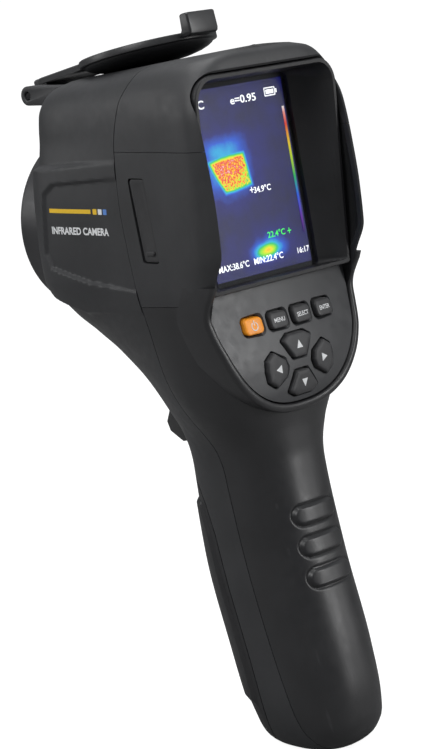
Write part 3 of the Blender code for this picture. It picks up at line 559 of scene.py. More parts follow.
def housing_skin(forward, heights, count, low_cap=True, top_cap=True, relief=None):
    """Rows of points for one housing moulding, closed over the foot and the crown."""
    rows = [patch_row(h, forward, count) for h in heights]
    shrink = np.linspace(0.0, 1.0, 9)[:-1]
    if low_cap:
        first = rows[0]
        rows = [first * (k, 1, 1) + (0, 0, 0) for k in shrink] + rows
    if top_cap:
        last = rows[-1]
        crown = [last * (k, 1, 1) + (0, 0, 0.7 * (1 - k * k)) for k in shrink[::-1]]
        rows = rows + crown
    grid = np.array(rows)
    if relief is not None:
        across = np.gradient(grid, axis=1)
        along = np.gradient(grid, axis=0)
        normal = np.cross(across, along)
        size = np.linalg.norm(normal, axis=2, keepdims=True)
        normal = normal / np.maximum(size, 1e-9)
        outward = np.sign(normal[..., 0] * grid[..., 0]
                          + normal[..., 1] * (grid[..., 1] - TILT_PIVOT_Y))
        normal *= np.where(outward == 0, 1, outward)[..., None]
        grid = grid + normal * relief(grid)[..., None]
    return grid


def mesh_from(bm, name, recalc=True):
    """Turn a bmesh into a mesh, and free it."""
    if recalc:
        bmesh.ops.recalc_face_normals(bm, faces=bm.faces)
    mesh = bpy.data.meshes.new(name)
    bm.to_mesh(mesh)
    bm.free()
    return mesh


def shade(mesh, sharp):
    mesh.shade_smooth()
    mesh.set_sharp_from_angle(angle=math.radians(sharp))


def grid_mesh(name, grid):
    """A quad sheet through rows of points in millimetres, welded where rows meet."""
    rows, columns = grid.shape[:2]
    bm = bmesh.new()
    verts = [bm.verts.new(point) for point in (grid * MM).reshape(-1, 3)]
    for r in range(rows - 1):
        for c in range(columns - 1):
            a = r * columns + c
            bm.faces.new((verts[a], verts[a + 1], verts[a + columns + 1], verts[a + columns]))
    bmesh.ops.remove_doubles(bm, verts=bm.verts, dist=1e-6)
    return mesh_from(bm, name)


def add_object(name, mesh, mat=None, smooth=32.0):
    if mat is not None:
        mesh.materials.clear()
        mesh.materials.append(mat)
    shade(mesh, smooth)
    obj = bpy.data.objects.new(name, mesh)
    SCENE.collection.objects.link(obj)
    return obj


def loft_mesh(name, rings, closed_tube=False, caps=True):
    """A skin through rings of equal counts, in millimetres; the rings may close on themselves."""
    bm = bmesh.new()
    loops = [[bm.verts.new(Vector(p) * MM) for p in ring] for ring in rings]
    pairs = list(zip(loops, loops[1:]))
    if closed_tube:
        pairs.append((loops[-1], loops[0]))
    count = len(loops[0])
    for low, high in pairs:
        for i in range(count):
            j = (i + 1) % count
            bm.faces.new((low[i], low[j], high[j], high[i]))
    if caps and not closed_tube:
        bm.faces.new(loops[0])
        bm.faces.new(loops[-1])
    return mesh_from(bm, name)


def loft(name, rings, mat, closed_tube=False, smooth=32.0):
    return add_object(name, loft_mesh(name, rings, closed_tube), mat, smooth)


def prism(name, outline, axis, low, high, mat=None):
    def place(point, depth):
        a, b = point
        return {"X": (depth, a, b), "Y": (a, depth, b), "Z": (a, b, depth)}[axis]
    return loft(name, [[place(p, d) for p in outline] for d in (low, high)], mat)


def turned(name, profile, axis, centre, mat, steps=96, smooth=28.0):
    """Turn (radius, position) points about a line along X or Y."""
    bm = bmesh.new()

    def place(radius, along, angle):
        u, v = radius * math.cos(angle), radius * math.sin(angle)
        if axis == "X":
            return Vector((centre[0] + along, centre[1] + u, centre[2] + v)) * MM
        return Vector((centre[0] + u, centre[1] + along, centre[2] + v)) * MM
    rows = []
    for radius, along in profile:
        if radius == 0.0:
            rows.append([bm.verts.new(place(0.0, along, 0.0))])
        else:
            rows.append([bm.verts.new(place(radius, along, math.tau * i / steps))
                         for i in range(steps)])
    pairs = list(zip(rows, rows[1:]))
    if profile[0][0] != 0.0:
        pairs.append((rows[-1], rows[0]))
    for first, second in pairs:
        for i in range(steps):
            j = (i + 1) % steps
            corners = [first[i % len(first)], first[j % len(first)],
                       second[j % len(second)], second[i % len(second)]]
            bm.faces.new(list(dict.fromkeys(corners)))
    return add_object(name, mesh_from(bm, name), mat, smooth)


def arc(centre, radius, start, stop, steps):
    return [(centre[0] + radius * math.cos(math.radians(start + (stop - start) * i / steps)),
             centre[1] + radius * math.sin(math.radians(start + (stop - start) * i / steps)))
            for i in range(steps + 1)]


def arched_rect(half_a, half_b, top_radius, foot_radius, centre, steps=8):
    """A rectangle with one radius at its upper corners and another at its lower ones."""
    points = []
    for sign_a, sign_b, start in ((1, 1, 0), (-1, 1, 90), (-1, -1, 180), (1, -1, 270)):
        radius = top_radius if sign_b > 0 else foot_radius
        corner = (centre[0] + sign_a * (half_a - radius), centre[1] + sign_b * (half_b - radius))
        points += arc(corner, radius, start, start + 90, steps)
    return points


def rounded_rect(half_a, half_b, radius, centre=(0.0, 0.0), steps=8):
    return arched_rect(half_a, half_b, radius, radius, centre, steps)


def rounded_polygon(corners, radius, steps=7):
    points = []
    for i, corner in enumerate(corners):
        here = Vector(corner)
        to_last = (Vector(corners[i - 1]) - here).normalized()
        to_next = (Vector(corners[(i + 1) % len(corners)]) - here).normalized()
        half = math.acos(max(-1.0, min(1.0, to_last.dot(to_next)))) / 2
        reach = radius / math.tan(half)
        start, stop = here + to_last * reach, here + to_next * reach
        for k in range(steps + 1):
            t = k / steps
            points.append(tuple(start * (1 - t) ** 2 + here * 2 * t * (1 - t) + stop * t ** 2))
    return points


def apply_modifiers(obj):
    depsgraph = bpy.context.evaluated_depsgraph_get()
    mesh = bpy.data.meshes.new_from_object(obj.evaluated_get(depsgraph))
    obj.modifiers.clear()
    old = obj.data
    obj.data = mesh
    mesh.name = obj.name
    bpy.data.meshes.remove(old)
    return obj


def carve(obj, cutters, smooth=32.0):
    """Apply boolean cutters in turn, then drop them."""
    for cutter, operation in cutters:
        modifier = obj.modifiers.new("carve", "BOOLEAN")
        modifier.operation = operation
        modifier.solver = "EXACT"
        modifier.object = cutter
    apply_modifiers(obj)
    for cutter, _ in cutters:
        if cutter.name in bpy.data.objects:
            bpy.data.objects.remove(cutter)
    shade(obj.data, smooth)
    return obj


def thicken(obj, wall=WALL, offset=-1.0):
    modifier = obj.modifiers.new("wall", "SOLIDIFY")
    modifier.thickness = wall * MM
    modifier.offset = offset
    modifier.use_even_offset = False
    return apply_modifiers(obj)


def rounded(obj, width=0.35, segments=3, angle=35.0):
    modifier = obj.modifiers.new("round", "BEVEL")
    modifier.width = width * MM
    modifier.segments = segments
    modifier.limit_method = "ANGLE"
    modifier.angle_limit = math.radians(angle)
    modifier.harden_normals = False
    apply_modifiers(obj)
    shade(obj.data, 50.0)
    return obj


def settle(obj, body, *nodes, slot=None):
    """Put a finished piece on its body, in place of the CAD nodes it stands for."""
    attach(obj, body)
    if nodes:
        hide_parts(*nodes)
    return obj


# ---------------------------------------------------------------- housings

def polygon_distance(y, z, corners):
    """Signed distance to a polygon drawn in side view, negative inside."""
    inside = np.zeros(y.shape, bool)
    nearest = np.full(y.shape, 1e9)
    for (ya, za), (yb, zb) in zip(corners, corners[1:] + corners[:1]):
        dy, dz = yb - ya, zb - za
        t = np.clip(((y - ya) * dy + (z - za) * dz) / (dy * dy + dz * dz), 0.0, 1.0)
        nearest = np.minimum(nearest, np.hypot(y - ya - t * dy, z - za - t * dz))
        crosses = (za > z) != (zb > z)
        with np.errstate(divide="ignore", invalid="ignore"):
            at = ya + (z - za) * dy / (dz if dz else 1e-9)
        inside ^= crosses & (y < at)
    return np.where(inside, -nearest, nearest)


CHEEK_FRAME = [(20.0, 187.4), (44.0, 186.0), (67.0, 184.2), (69.6, 182.4), (69.4, 150.0),
               (64.0, 143.6), (50.0, 139.5), (20.0, 141.0)]
LABEL_RECESS = [(20.0, 182.0), (31.0, 181.6), (56.5, 179.6), (61.0, 176.6), (62.6, 158.0),
                (60.6, 153.6), (44.0, 149.6), (20.0, 147.4)]


def front_relief(grid):
    """Raised frame and sunken label field on each cheek of the front housing."""
    x, y, z = grid[..., 0], grid[..., 1], grid[..., 2]
    cheek = smoothstep(17.0, 22.0, np.abs(x)) * (z > 130.0)
    frame_edge = polygon_distance(y, z, CHEEK_FRAME)
    field_edge = polygon_distance(y, z, LABEL_RECESS)
    fade = 0.12 + 0.88 * smoothstep(28.0, 66.0, y)
    raised = 2.1 * fade * smoothstep(0.9, -0.9, frame_edge)
    sunk = -1.0 * (0.35 + 0.65 * smoothstep(27.0, 38.0, y)) * smoothstep(0.55, -0.55, field_edge)
    return cheek * (raised + sunk)


def door_relief(grid):
    x, y, z = grid[..., 0], grid[..., 1], grid[..., 2]
    inner = smoothstep(2.2, 3.4, y - np.interp(z, [p[1] for p in reversed(DOOR_SEAM)],
                                               [p[0] for p in reversed(DOOR_SEAM)]))
    raised = 1.0 * inner * smoothstep(78.5, 76.5, z) * smoothstep(13.5, 15.5, z)
    groove = np.zeros_like(z)
    for level in (72.4, 70.2, 68.0):
        groove += np.exp(-((z - level) / 0.42) ** 2) * (np.abs(x) < 9.0)
    return raised - 0.45 * groove * inner


RIB_HEIGHTS = (74.6, 65.1, 55.5)


def rear_relief(grid):
    """Three raised bars with sunken outlines on the back of the handle."""
    x, y, z = grid[..., 0], grid[..., 1], grid[..., 2]
    bump = np.zeros_like(z)
    behind = y < 4.0
    for level in RIB_HEIGHTS:
        dx = np.maximum(np.abs(x) - 6.4, 0.0)
        reach = np.hypot(dx, z - level)
        bump += 0.7 * smoothstep(2.9, 1.9, reach) * behind
        bump -= 0.5 * np.exp(-((reach - 3.2) / 0.42) ** 2) * behind
    return bump


def side_surface(y, z):
    """Half width of the front housing at a point in side view, with its relief."""
    ring = half_ring(z)
    order = np.argsort(ring[:, 1])
    keep = ring[order][:, 0] > 8.0
    x = float(np.interp(y, ring[order][keep][:, 1], ring[order][keep][:, 0]))
    shift = front_relief(np.array([[[x, y, z]]]))[0, 0]
    return x + float(shift)


def rear_y(x, z):
    """Back surface of the body at a point seen from behind."""
    height = z
    for _ in range(4):
        ring = half_ring(height)
        back = ring[ring[:, 1] < TAPER_FROM_Y][::-1]
        top = int(np.argmax(back[:, 0]))
        y = float(np.interp(min(abs(x), back[top, 0] - 0.01), back[:top + 1, 0],
                            back[:top + 1, 1]))
        tilt = float(SECTION_CURVES[4](height))
        height = z - tilt * (y - TILT_PIVOT_Y)
    return y


def aperture_outline(inset=0.0):
    half, foot = APERTURE_HALF_X - inset, APERTURE_FOOT_Z + inset
    upper, corner = APERTURE_TOP_Z - inset, APERTURE_CORNER - inset
    right = [(x, upper) for x in np.linspace(0.0, half - corner, 9)[1:-1]]
    right += arc((half - corner, upper - corner), corner, 90, 0, 20)
    right += [(half, z) for z in np.linspace(upper - corner, APERTURE_SIDE_Z, 26)[1:-1]]
    for i in range(61):
        angle = math.pi / 2 * i / 60
        right.append((half * math.cos(angle) ** 0.83 if i < 60 else 0.0,
                      APERTURE_SIDE_Z - (APERTURE_SIDE_Z - foot) * math.sin(angle) ** 0.83))
    left = [(-x, z) for x, z in reversed(right[:-1])]
    return [(0.0, upper)] + right + left


LIP_CHAMFER = 0.9


def aperture_cutter(name):
    """Opening for the screen and keys, with a chamfered outer edge."""
    outline = aperture_outline()
    grown = aperture_outline(-2 * LIP_CHAMFER)
    edge = [rear_y(x, z) for x, z in outline]
    rings = [[(x, 9.0, z) for x, z in outline],
             [(x, y + LIP_CHAMFER, z) for (x, z), y in zip(outline, edge)],
             [(x, y - LIP_CHAMFER, z) for (x, z), y in zip(grown, edge)],
             [(x, -45.0, z) for x, z in grown]]
    return loft(name, rings, None)


def side_prism(name, outline, half_x=50.0):
    return prism(name, outline, "X", -half_x, half_x)


def build_housings(mats):
    fine_head = np.arange(140.0, 192.0, 0.5)
    heights = np.concatenate([[0.0, 0.35, 1.0, 1.8, 2.8, 4.0, 5.5, 7.2, 9.0, 11.0, 13.5],
                              np.arange(16.0, 100.0, 2.2), np.arange(100.0, 140.0, 1.2),
                              fine_head, np.arange(192.0, 208.0, 1.0),
                              [208.0, 209.5, 210.8, 211.8, 212.5, 213.0, 213.5, 213.9, 214.2,
                               214.4]])
    front = add_object("front_shell", grid_mesh(
        "front_shell", housing_skin(True, heights, 150, relief=front_relief)))
    thicken(front)
    door_cut = [(y - HALF_GAP, z + HALF_GAP) for y, z in DOOR_SEAM]
    door_cut += [(80.0, -10.0), (80.0, 86.5 + HALF_GAP)]
    cutters = [(side_prism("door_space", door_cut), "DIFFERENCE"),
               (prism("trigger_space", rounded_rect(6.6, 7.25, 1.5, (0.0, 98.75)), "Y",
                      26.0, 60.0), "DIFFERENCE")]
    carve(front, cutters)
    front.data.materials.append(mats["housing_grey"])
    settle(front, "housing", "front_housing", slot="housing_grey")

    door_heights = np.concatenate([heights[:11], np.arange(16.0, 64.0, 1.2),
                                   np.arange(64.0, 79.5, 0.3), np.arange(79.5, 93.0, 1.2)])
    door = add_object("battery_door_shell", grid_mesh(
        "battery_door_shell", housing_skin(True, door_heights, 90, top_cap=False,
                                           relief=door_relief)))
    thicken(door)
    keep = [(y + HALF_GAP, z - HALF_GAP) for y, z in DOOR_SEAM]
    keep += [(80.0, -10.0), (80.0, 86.5 - HALF_GAP)]
    carve(door, [(side_prism("door_outline", keep), "INTERSECT")])
    door.data.materials.append(mats["door_dark"])
    settle(door, "battery_door", "battery_door", slot="door_dark")

    low_rear, low_seam = BAND_SEAM_Z
    regions = {
        "hood_shell": ("screen_hood", "housing_grey", np.concatenate(
            [np.arange(185.0, 208.0, 0.8), heights[-9:]]),
            [(-60.0, HOOD_SEAM_Z + THIN_GAP), (80.0, HOOD_SEAM_Z + THIN_GAP),
             (80.0, 240.0), (-60.0, 240.0)]),
        "band_shell": ("middle_band", "housing_grey", np.arange(138.0, 196.0, 0.8),
                       [(-15.0, low_rear + THIN_GAP), (30.0, low_seam + THIN_GAP),
                        (30.0, HOOD_SEAM_Z - THIN_GAP), (-15.0, HOOD_SEAM_Z - THIN_GAP)]),
        "rear_shell": ("rear_housing", "housing_dark", np.concatenate(
            [heights[:11], np.arange(16.0, 49.0, 1.8), np.arange(49.0, 86.0, 0.35),
             np.arange(86.0, 150.0, 1.2)]),
            [(-60.0, low_rear - THIN_GAP), (-15.0, low_rear - THIN_GAP),
             (30.0, low_seam - THIN_GAP), (30.0, -10.0), (-60.0, -10.0)]),
    }
    for name, (node, slot, levels, region) in regions.items():
        shell = add_object(name, grid_mesh(name, housing_skin(
            False, levels, 110, low_cap=name == "rear_shell", top_cap=name == "hood_shell",
            relief=rear_relief if name == "rear_shell" else None)))
        thicken(shell)
        cutters = [(side_prism("keep_" + name, region), "INTERSECT"),
                   (aperture_cutter("opening_" + name), "DIFFERENCE")]
        if name == "band_shell":
            for side in (-1, 1):
                low, high = sorted((side * 28.0, side * 40.0))
                cutters.append((prism(f"port_space_{side + 1}", port_outline(0.0), "X",
                                      low, high), "DIFFERENCE"))
        carve(shell, cutters)
        shell.data.materials.append(mats[slot])
        settle(shell, "housing", node, slot=slot)


LIP_WIDTH = 2.6


def build_lip(mats):
    """Raised rim of the rear housing round the foot of the opening."""
    inner, outer = aperture_outline(-0.02), aperture_outline(-LIP_WIDTH)
    rings = []
    for (xi, zi), (xo, zo) in zip(inner, outer):
        if max(zi, zo) > APERTURE_SIDE_Z + 0.01 or abs(xi) > APERTURE_HALF_X + 5.0:
            continue
        blend = float(smoothstep(136.0, APERTURE_SIDE_Z, zi))
        sample_x = min(xi, 31.0, key=abs) if abs(xi) > 31.0 else xi
        edge = (panel_y(xi, zi) - 1.0) * (1 - blend) + (rear_y(sample_x, zi) + 0.2) * blend
        ring = []
        for share, rise in ((0.0, 8.0), (0.0, 0.55), (0.06, 0.25), (0.16, 0.06), (0.32, 0.0),
                            (0.62, 0.05), (0.82, 0.3), (0.94, 0.75), (1.0, 1.4), (1.04, 12.0)):
            ring.append((xi + (xo - xi) * share, edge + rise, zi + (zo - zi) * share))
        rings.append(ring)
    lip = loft("panel_lip", rings, mats["housing_dark"], smooth=50.0)
    settle(lip, "housing", slot="housing_dark")


def build_lugs(mats):
    """Ears on the front edge of the head that carry the cover pin."""
    for side, word in ((-1, "left"), (1, "right")):
        outline = [(64.0, HINGE_Z - LUG_RADIUS), (HINGE_Y, HINGE_Z - LUG_RADIUS)]
        outline += arc((HINGE_Y, HINGE_Z), LUG_RADIUS, -80, 80, 20)
        outline += [(HINGE_Y, HINGE_Z + LUG_RADIUS), (64.0, HINGE_Z + LUG_RADIUS)]
        low, high = sorted((side * 12.6, side * 16.5))
        lug = prism(f"hinge_lug_{word}", outline, "X", low, high, mats["housing_grey"])
        bore = turned("lug_bore", [(0.0, low - 1), (1.35, low - 1), (1.35, high + 1),
                                   (0.0, high + 1)], "X", (0.0, HINGE_Y, HINGE_Z), None, 32)
        carve(lug, [(bore, "DIFFERENCE")])
        rounded(lug, 0.45)
        settle(lug, "housing", slot="housing_grey")


# ---------------------------------------------------------------- side port covers

PORT_TOP, PORT_FOOT, PORT_HALF_Y = (19.1, 182.2), (15.4, 156.6), 3.5


def port_outline(grow):
    (top_y, top_z), (foot_y, foot_z) = PORT_TOP, PORT_FOOT
    reach = PORT_HALF_Y + grow
    corners = [(foot_y - reach, foot_z - grow), (foot_y + reach, foot_z - grow),
               (top_y + reach, top_z + grow), (top_y - reach, top_z + grow)]
    return rounded_polygon(corners, 1.2)


def build_ports(mats):
    for side, name in ((-1, "usb_cover"), (1, "card_cover")):
        rings = []
        for grow, x in ((-0.3, 32.2), (-0.3, 33.2), (-0.45, 33.5), (-0.9, 33.62), (-1.5, 33.5)):
            rings.append([(side * x, y, z) for y, z in port_outline(grow)])
        flap = loft(f"{name}_flap", rings, mats["port_rubber"])
        settle(flap, name, name, slot="port_rubber")
        pull = []
        for x, half_y, half_z in ((33.3, 2.0, 0.75), (33.95, 1.8, 0.6), (34.15, 1.5, 0.35)):
            pull.append([(side * x, y, z) for y, z in rounded_rect(
                half_y, half_z, half_z * 0.9, (PORT_FOOT[0] + 0.4, PORT_FOOT[1] + 3.0), 5)])
        settle(loft(f"{name}_pull", pull, mats["port_rubber"]), name, slot="port_rubber")


# ---------------------------------------------------------------- screen

def screen_point(x, up, depth):
    return (SCREEN_CENTRE[0] + x,
            SCREEN_CENTRE[1] + up * math.sin(SCREEN_TILT) + depth * math.cos(SCREEN_TILT),
            SCREEN_CENTRE[2] + up * math.cos(SCREEN_TILT) - depth * math.sin(SCREEN_TILT))


def build_surround(mats):
    low, high = PANEL_TOP_Z + 0.3, APERTURE_TOP_Z - 0.5
    centre = (0.0, (low + high) / 2)
    half = (APERTURE_HALF_X - 0.5, (high - low) / 2)
    rim_y, steps = -6.2, 12

    def flat(inset, y, radius):
        return [(x, y, z) for x, z in arched_rect(half[0] - inset, half[1] - inset, radius, 1.0,
                                                  centre, steps)]
    window = rounded_rect(*WINDOW_HALF, 1.5, (0.0, 0.0), steps)
    inner = flat(1.3, rim_y, 6.7)
    floor = [screen_point(x, up, 0.0) for x, up in window]
    slope = []
    for t in np.linspace(0.0, 1.0, 10)[1:-1]:
        ease = t * t * (3 - 2 * t) * 0.35 + t * 0.65
        slope.append([tuple(a + (b - a) * k for a, b, k in zip(p, q, (t, ease, t)))
                      for p, q in zip(inner, floor)])
    back_y = [(x, SCREEN_CENTRE[1] + 2.6 + (z - SCREEN_CENTRE[2]) * math.tan(SCREEN_TILT), z)
              for x, _, z in flat(0.0, 0.0, 8.0)]
    rings = [flat(0.0, rim_y + 0.3, 8.0), flat(0.3, rim_y, 7.7), inner] + slope
    rings += [floor, [screen_point(x, up, 1.6) for x, up in window], back_y]
    surround = loft("surround_frame", rings, mats["surround_dark"], closed_tube=True)
    settle(surround, "housing", "screen_surround", slot="surround_dark")


def screen_plate(name, half_x, half_up, near, far, mat, radius=1.0):
    outline = rounded_rect(half_x, half_up, radius, steps=5)
    edge = rounded_rect(half_x - 0.15, half_up - 0.15, radius, steps=5)
    rings = [[screen_point(x, up, near) for x, up in edge],
             [screen_point(x, up, near + 0.15) for x, up in outline],
             [screen_point(x, up, far) for x, up in outline]]
    return loft(name, rings, mat)


def screen_sheet(name, low, high, depth, mat):
    """A flat patch on the display with UVs from corner to corner."""
    mesh = bpy.data.meshes.new(name)
    places = [(low[0], low[1]), (high[0], low[1]), (high[0], high[1]), (low[0], high[1])]
    verts = [Vector(screen_point(x, up, d)) * MM for d in (depth, depth + 0.12)
             for x, up in places]
    mesh.from_pydata(verts, [], [(0, 1, 2, 3), (7, 6, 5, 4), (0, 4, 5, 1), (1, 5, 6, 2),
                                 (2, 6, 7, 3), (3, 7, 4, 0)])
    layer = mesh.uv_layers.new(name="UVMap")
    corners = [(0.0, 0.0), (1.0, 0.0), (1.0, 1.0), (0.0, 1.0)]
    for loop in mesh.loops:
        layer.data[loop.index].uv = corners[loop.vertex_index % 4]
    return add_object(name, mesh, mat)


def text_mesh(name, body, size, place, mat, thick=0.03, width=None, bold=0.014):
    """Lettering laid flat, then moved point by point onto a surface."""
    curve = bpy.data.curves.new(name, "FONT")
    curve.body = body
    curve.size = size
    curve.align_x = "CENTER"
    curve.align_y = "CENTER"
    curve.extrude = thick / 2
    curve.offset = size * bold
    curve.resolution_u = 4
    holder = bpy.data.objects.new(name, curve)
    SCENE.collection.objects.link(holder)
    depsgraph = bpy.context.evaluated_depsgraph_get()
    mesh = bpy.data.meshes.new_from_object(holder.evaluated_get(depsgraph))
    bpy.data.objects.remove(holder)
    reach = [vert.co.x for vert in mesh.vertices]
    stretch = width / (max(reach) - min(reach)) if width else 1.0
    for vert in mesh.vertices:
        u, v, w = vert.co
        vert.co = Vector(place(u * stretch, v, w)) * MM
    mesh.materials.clear()
    return add_object(name, mesh, mat)


def flat_shape(name, outline, place, mat, thick=0.04):
    rings = [[place(u, v, w) for u, v in outline] for w in (thick / 2, -thick / 2)]
    return loft(name, rings, mat)


def join(name, parts):
    """Merge meshes into the first object, keeping each one's material."""
    base = parts[0]
    bm = bmesh.new()
    mats = []
    for part in parts:
        mat = part.data.materials[0]
        if mat not in mats:
            mats.append(mat)
        before = len(bm.faces)
        bm.from_mesh(part.data)
        bm.faces.ensure_lookup_table()
        for face in bm.faces[before:]:
            face.material_index = mats.index(mat)
    mesh = mesh_from(bm, name, recalc=False)
    for mat in mats:
        mesh.materials.append(mat)
    for part in parts[1:]:
        bpy.data.objects.remove(part)
    base.data = mesh
    base.name = name
    return base


def build_screen(mats):
    build_surround(mats)
    window = screen_plate("window_pane", 22.5, 30.0, 0.4, 1.4, mats["window_glass"])
    settle(window, "housing", "screen_window", slot="window_glass")
    half_x, half_up = PICTURE_SIZE[0] / 2, PICTURE_SIZE[1] / 2
    border = screen_plate("display_frame", 24.2, 31.8, 1.9, 2.5, mats["rubber_black"])
    settle(border, "housing", "screen_gasket", slot="rubber_black")
    picture = screen_sheet("display_picture", (-half_x, -half_up), (half_x, half_up), 1.65,
                           mats["screen_image"])
    settle(picture, "housing", "display_module", slot="screen_image")
    bar = screen_sheet("display_scale", (19.9, -19.6), (20.8, 19.8), 1.5, mats["screen_scale"])
    settle(bar, "housing", slot="screen_image")

    def on_screen(x, up, depth=1.52):
        return lambda u, v, w: screen_point(x + u, up + v, depth - w)
    white, green = mats["glyph_white"], mats["glyph_green"]
    lines = [("°C", 3.6, 4.4, -16.2, 24.2, white), ("e=0.95", 3.3, 11.4, 3.3, 24.0, white),
             ("34.9°C", 2.6, 7.6, 4.9, -3.8, white), ("22.4°C", 2.6, 8.0, 7.7, -18.1, green),
             ("MAX:38.6°C", 2.7, 13.4, -13.2, -25.0, white),
             ("MIN:22.4°C", 2.7, 13.2, 2.4, -25.0, white), ("16:17", 2.5, 5.4, 18.2, -24.9, white)]
    parts = []
    for number, (body, size, width, x, up, mat) in enumerate(lines):
        parts.append(text_mesh(f"readout_{number}", body, size, on_screen(x, up), mat,
                               0.02, width=width))
    icon = on_screen(15.5, 24.9)
    outline = rounded_rect(2.5, 1.35, 0.3, steps=3)
    inner = rounded_rect(2.15, 1.0, 0.15, steps=3)
    rings = [[icon(u, v, w) for u, v in ring] for ring, w in
             ((outline, 0.01), (inner, 0.01), (inner, -0.01), (outline, -0.01))]
    parts.append(loft("battery_outline", rings, white, closed_tube=True))
    parts.append(flat_shape("battery_charge", rounded_rect(1.75, 0.65, 0.1, steps=2), icon,
                            white, 0.02))
    parts.append(flat_shape("battery_tip", rounded_rect(0.3, 0.6, 0.1, (2.95, 0.0), 2), icon,
                            white, 0.02))
    for x, up, mat in ((0.2, -3.4, white), (13.6, -18.1, green)):
        cross = on_screen(x, up)
        parts.append(flat_shape("marker", rounded_rect(0.9, 0.16, 0.1, steps=2), cross, mat, 0.02))
        parts.append(flat_shape("marker", rounded_rect(0.16, 0.9, 0.1, steps=2), cross, mat, 0.02))
    settle(join("display_readouts", parts), "housing", slot="screen_image")


# ---------------------------------------------------------------- keys

ROW_KEYS = [("power_key", -15.9, None), ("menu_key", -5.2, "MENU"),
            ("select_key", 5.4, "SELECT"), ("enter_key", 16.0, "ENTER")]
ROW_KEY_Z, ROW_KEY_HALF = 135.4, (3.8, 2.45)
PAD_CENTRE_Z = 121.2
KEY_GAP, KEY_BASE = 0.6, 3.0


def panel_y(x, z):
    return float(panel_face(z)) + 1.5 * (x / 29.0) ** 2


def key_outlines():
    keys = [(name, (x, ROW_KEY_Z), rounded_rect(*ROW_KEY_HALF, 1.4, steps=8))
            for name, x, _ in ROW_KEYS]
    wide, narrow, tall = 6.4, 2.6, 3.6
    upright = [(wide, tall * 0.55), (narrow, -tall), (-narrow, -tall), (-wide, tall * 0.55),
               (-wide * 0.55, tall), (wide * 0.55, tall)]
    sideways = [(4.3, 3.2), (4.7, 0.0), (4.3, -3.2), (1.1, -5.3), (-3.4, -2.3), (-4.1, 0.0),
                (-3.4, 2.3), (1.1, 5.3)]
    for name, centre, corners, flip in (
            ("up_key", (0.0, PAD_CENTRE_Z + 5.7), upright, (1, 1)),
            ("down_key", (0.0, PAD_CENTRE_Z - 5.7), upright, (1, -1)),
            ("right_key", (10.1, PAD_CENTRE_Z), sideways, (1, 1)),
            ("left_key", (-10.3, PAD_CENTRE_Z), sideways, (-1, 1))):
        keys.append((name, centre, rounded_polygon([(x * flip[0], z * flip[1])
                                                    for x, z in corners], 0.7)))
    return keys


def scaled_outline(outline, grow):
    return [(x * (1 + grow / math.hypot(x, z)), z * (1 + grow / math.hypot(x, z)))
            for x, z in outline]


def build_panel(mats):
    xs, zs = np.linspace(-33.0, 33.0, 111), np.linspace(148.4, 104.0, 75)
    grid = np.array([[(x, panel_y(x, z), z) for x in xs] for z in zs])
    panel = add_object("key_plate", grid_mesh("key_plate", grid))
    panel.data.materials.append(mats["panel_grey"])
    inward = 1.0 if panel.data.polygons[0].normal.y < 0 else -1.0
    thicken(panel, 2.2, -inward)
    outline = [(x, z) for x, z in aperture_outline(0.5) if z < PANEL_TOP_Z - 0.5]
    right = [p for p in outline if p[0] >= 0]
    left = [p for p in outline if p[0] < 0]
    half = APERTURE_HALF_X - 0.5
    shape = [(half, PANEL_TOP_Z)] + right + left + [(-half, PANEL_TOP_Z)]
    cutters = [(prism("panel_shape", shape, "Y", -30.0, 20.0), "INTERSECT")]
    for name, (x, z), outline in key_outlines():
        socket = [(x + u, z + v) for u, v in scaled_outline(outline, KEY_GAP)]
        rim = [(x + u, z + v) for u, v in scaled_outline(outline, KEY_GAP + 0.75)]
        face = panel_y(x, z)
        slope = (panel_y(x, z + 2.0) - panel_y(x, z - 2.0)) / 4.0

        def level(points, rise):
            return [(a, face + slope * (b - z) + rise, b) for a, b in points]
        rings = [level(socket, 6.0), level(socket, 0.55), level(rim, -0.2), level(rim, -6.0)]
        cutters.append((loft(f"socket_{name}", rings, None), "DIFFERENCE"))
    carve(panel, cutters)
    settle(panel, "housing", "key_panel", slot="panel_grey")


def power_symbol(place, mat):
    ring = []
    for radius, w in ((1.35, 0.02), (1.05, 0.02), (1.05, -0.02), (1.35, -0.02)):
        ring.append([place(radius * math.sin(math.radians(a)),
                           radius * math.cos(math.radians(a)), w) for a in range(32, 329, 8)])
    bm = bmesh.new()
    loops = [[bm.verts.new(Vector(p) * MM) for p in line] for line in ring]
    for k in range(4):
        first, second = loops[k], loops[(k + 1) % 4]
        for i in range(len(first) - 1):
            bm.faces.new((first[i], first[i + 1], second[i + 1], second[i]))
    bm.faces.new([line[0] for line in loops])
    bm.faces.new([line[-1] for line in loops])
    mesh = mesh_from(bm, "power_ring")
    bar = flat_shape("power_bar", rounded_rect(0.15, 0.75, 0.1, (0.0, 1.0), 3), place, mat)
    return [add_object("power_ring", mesh, mat), bar]


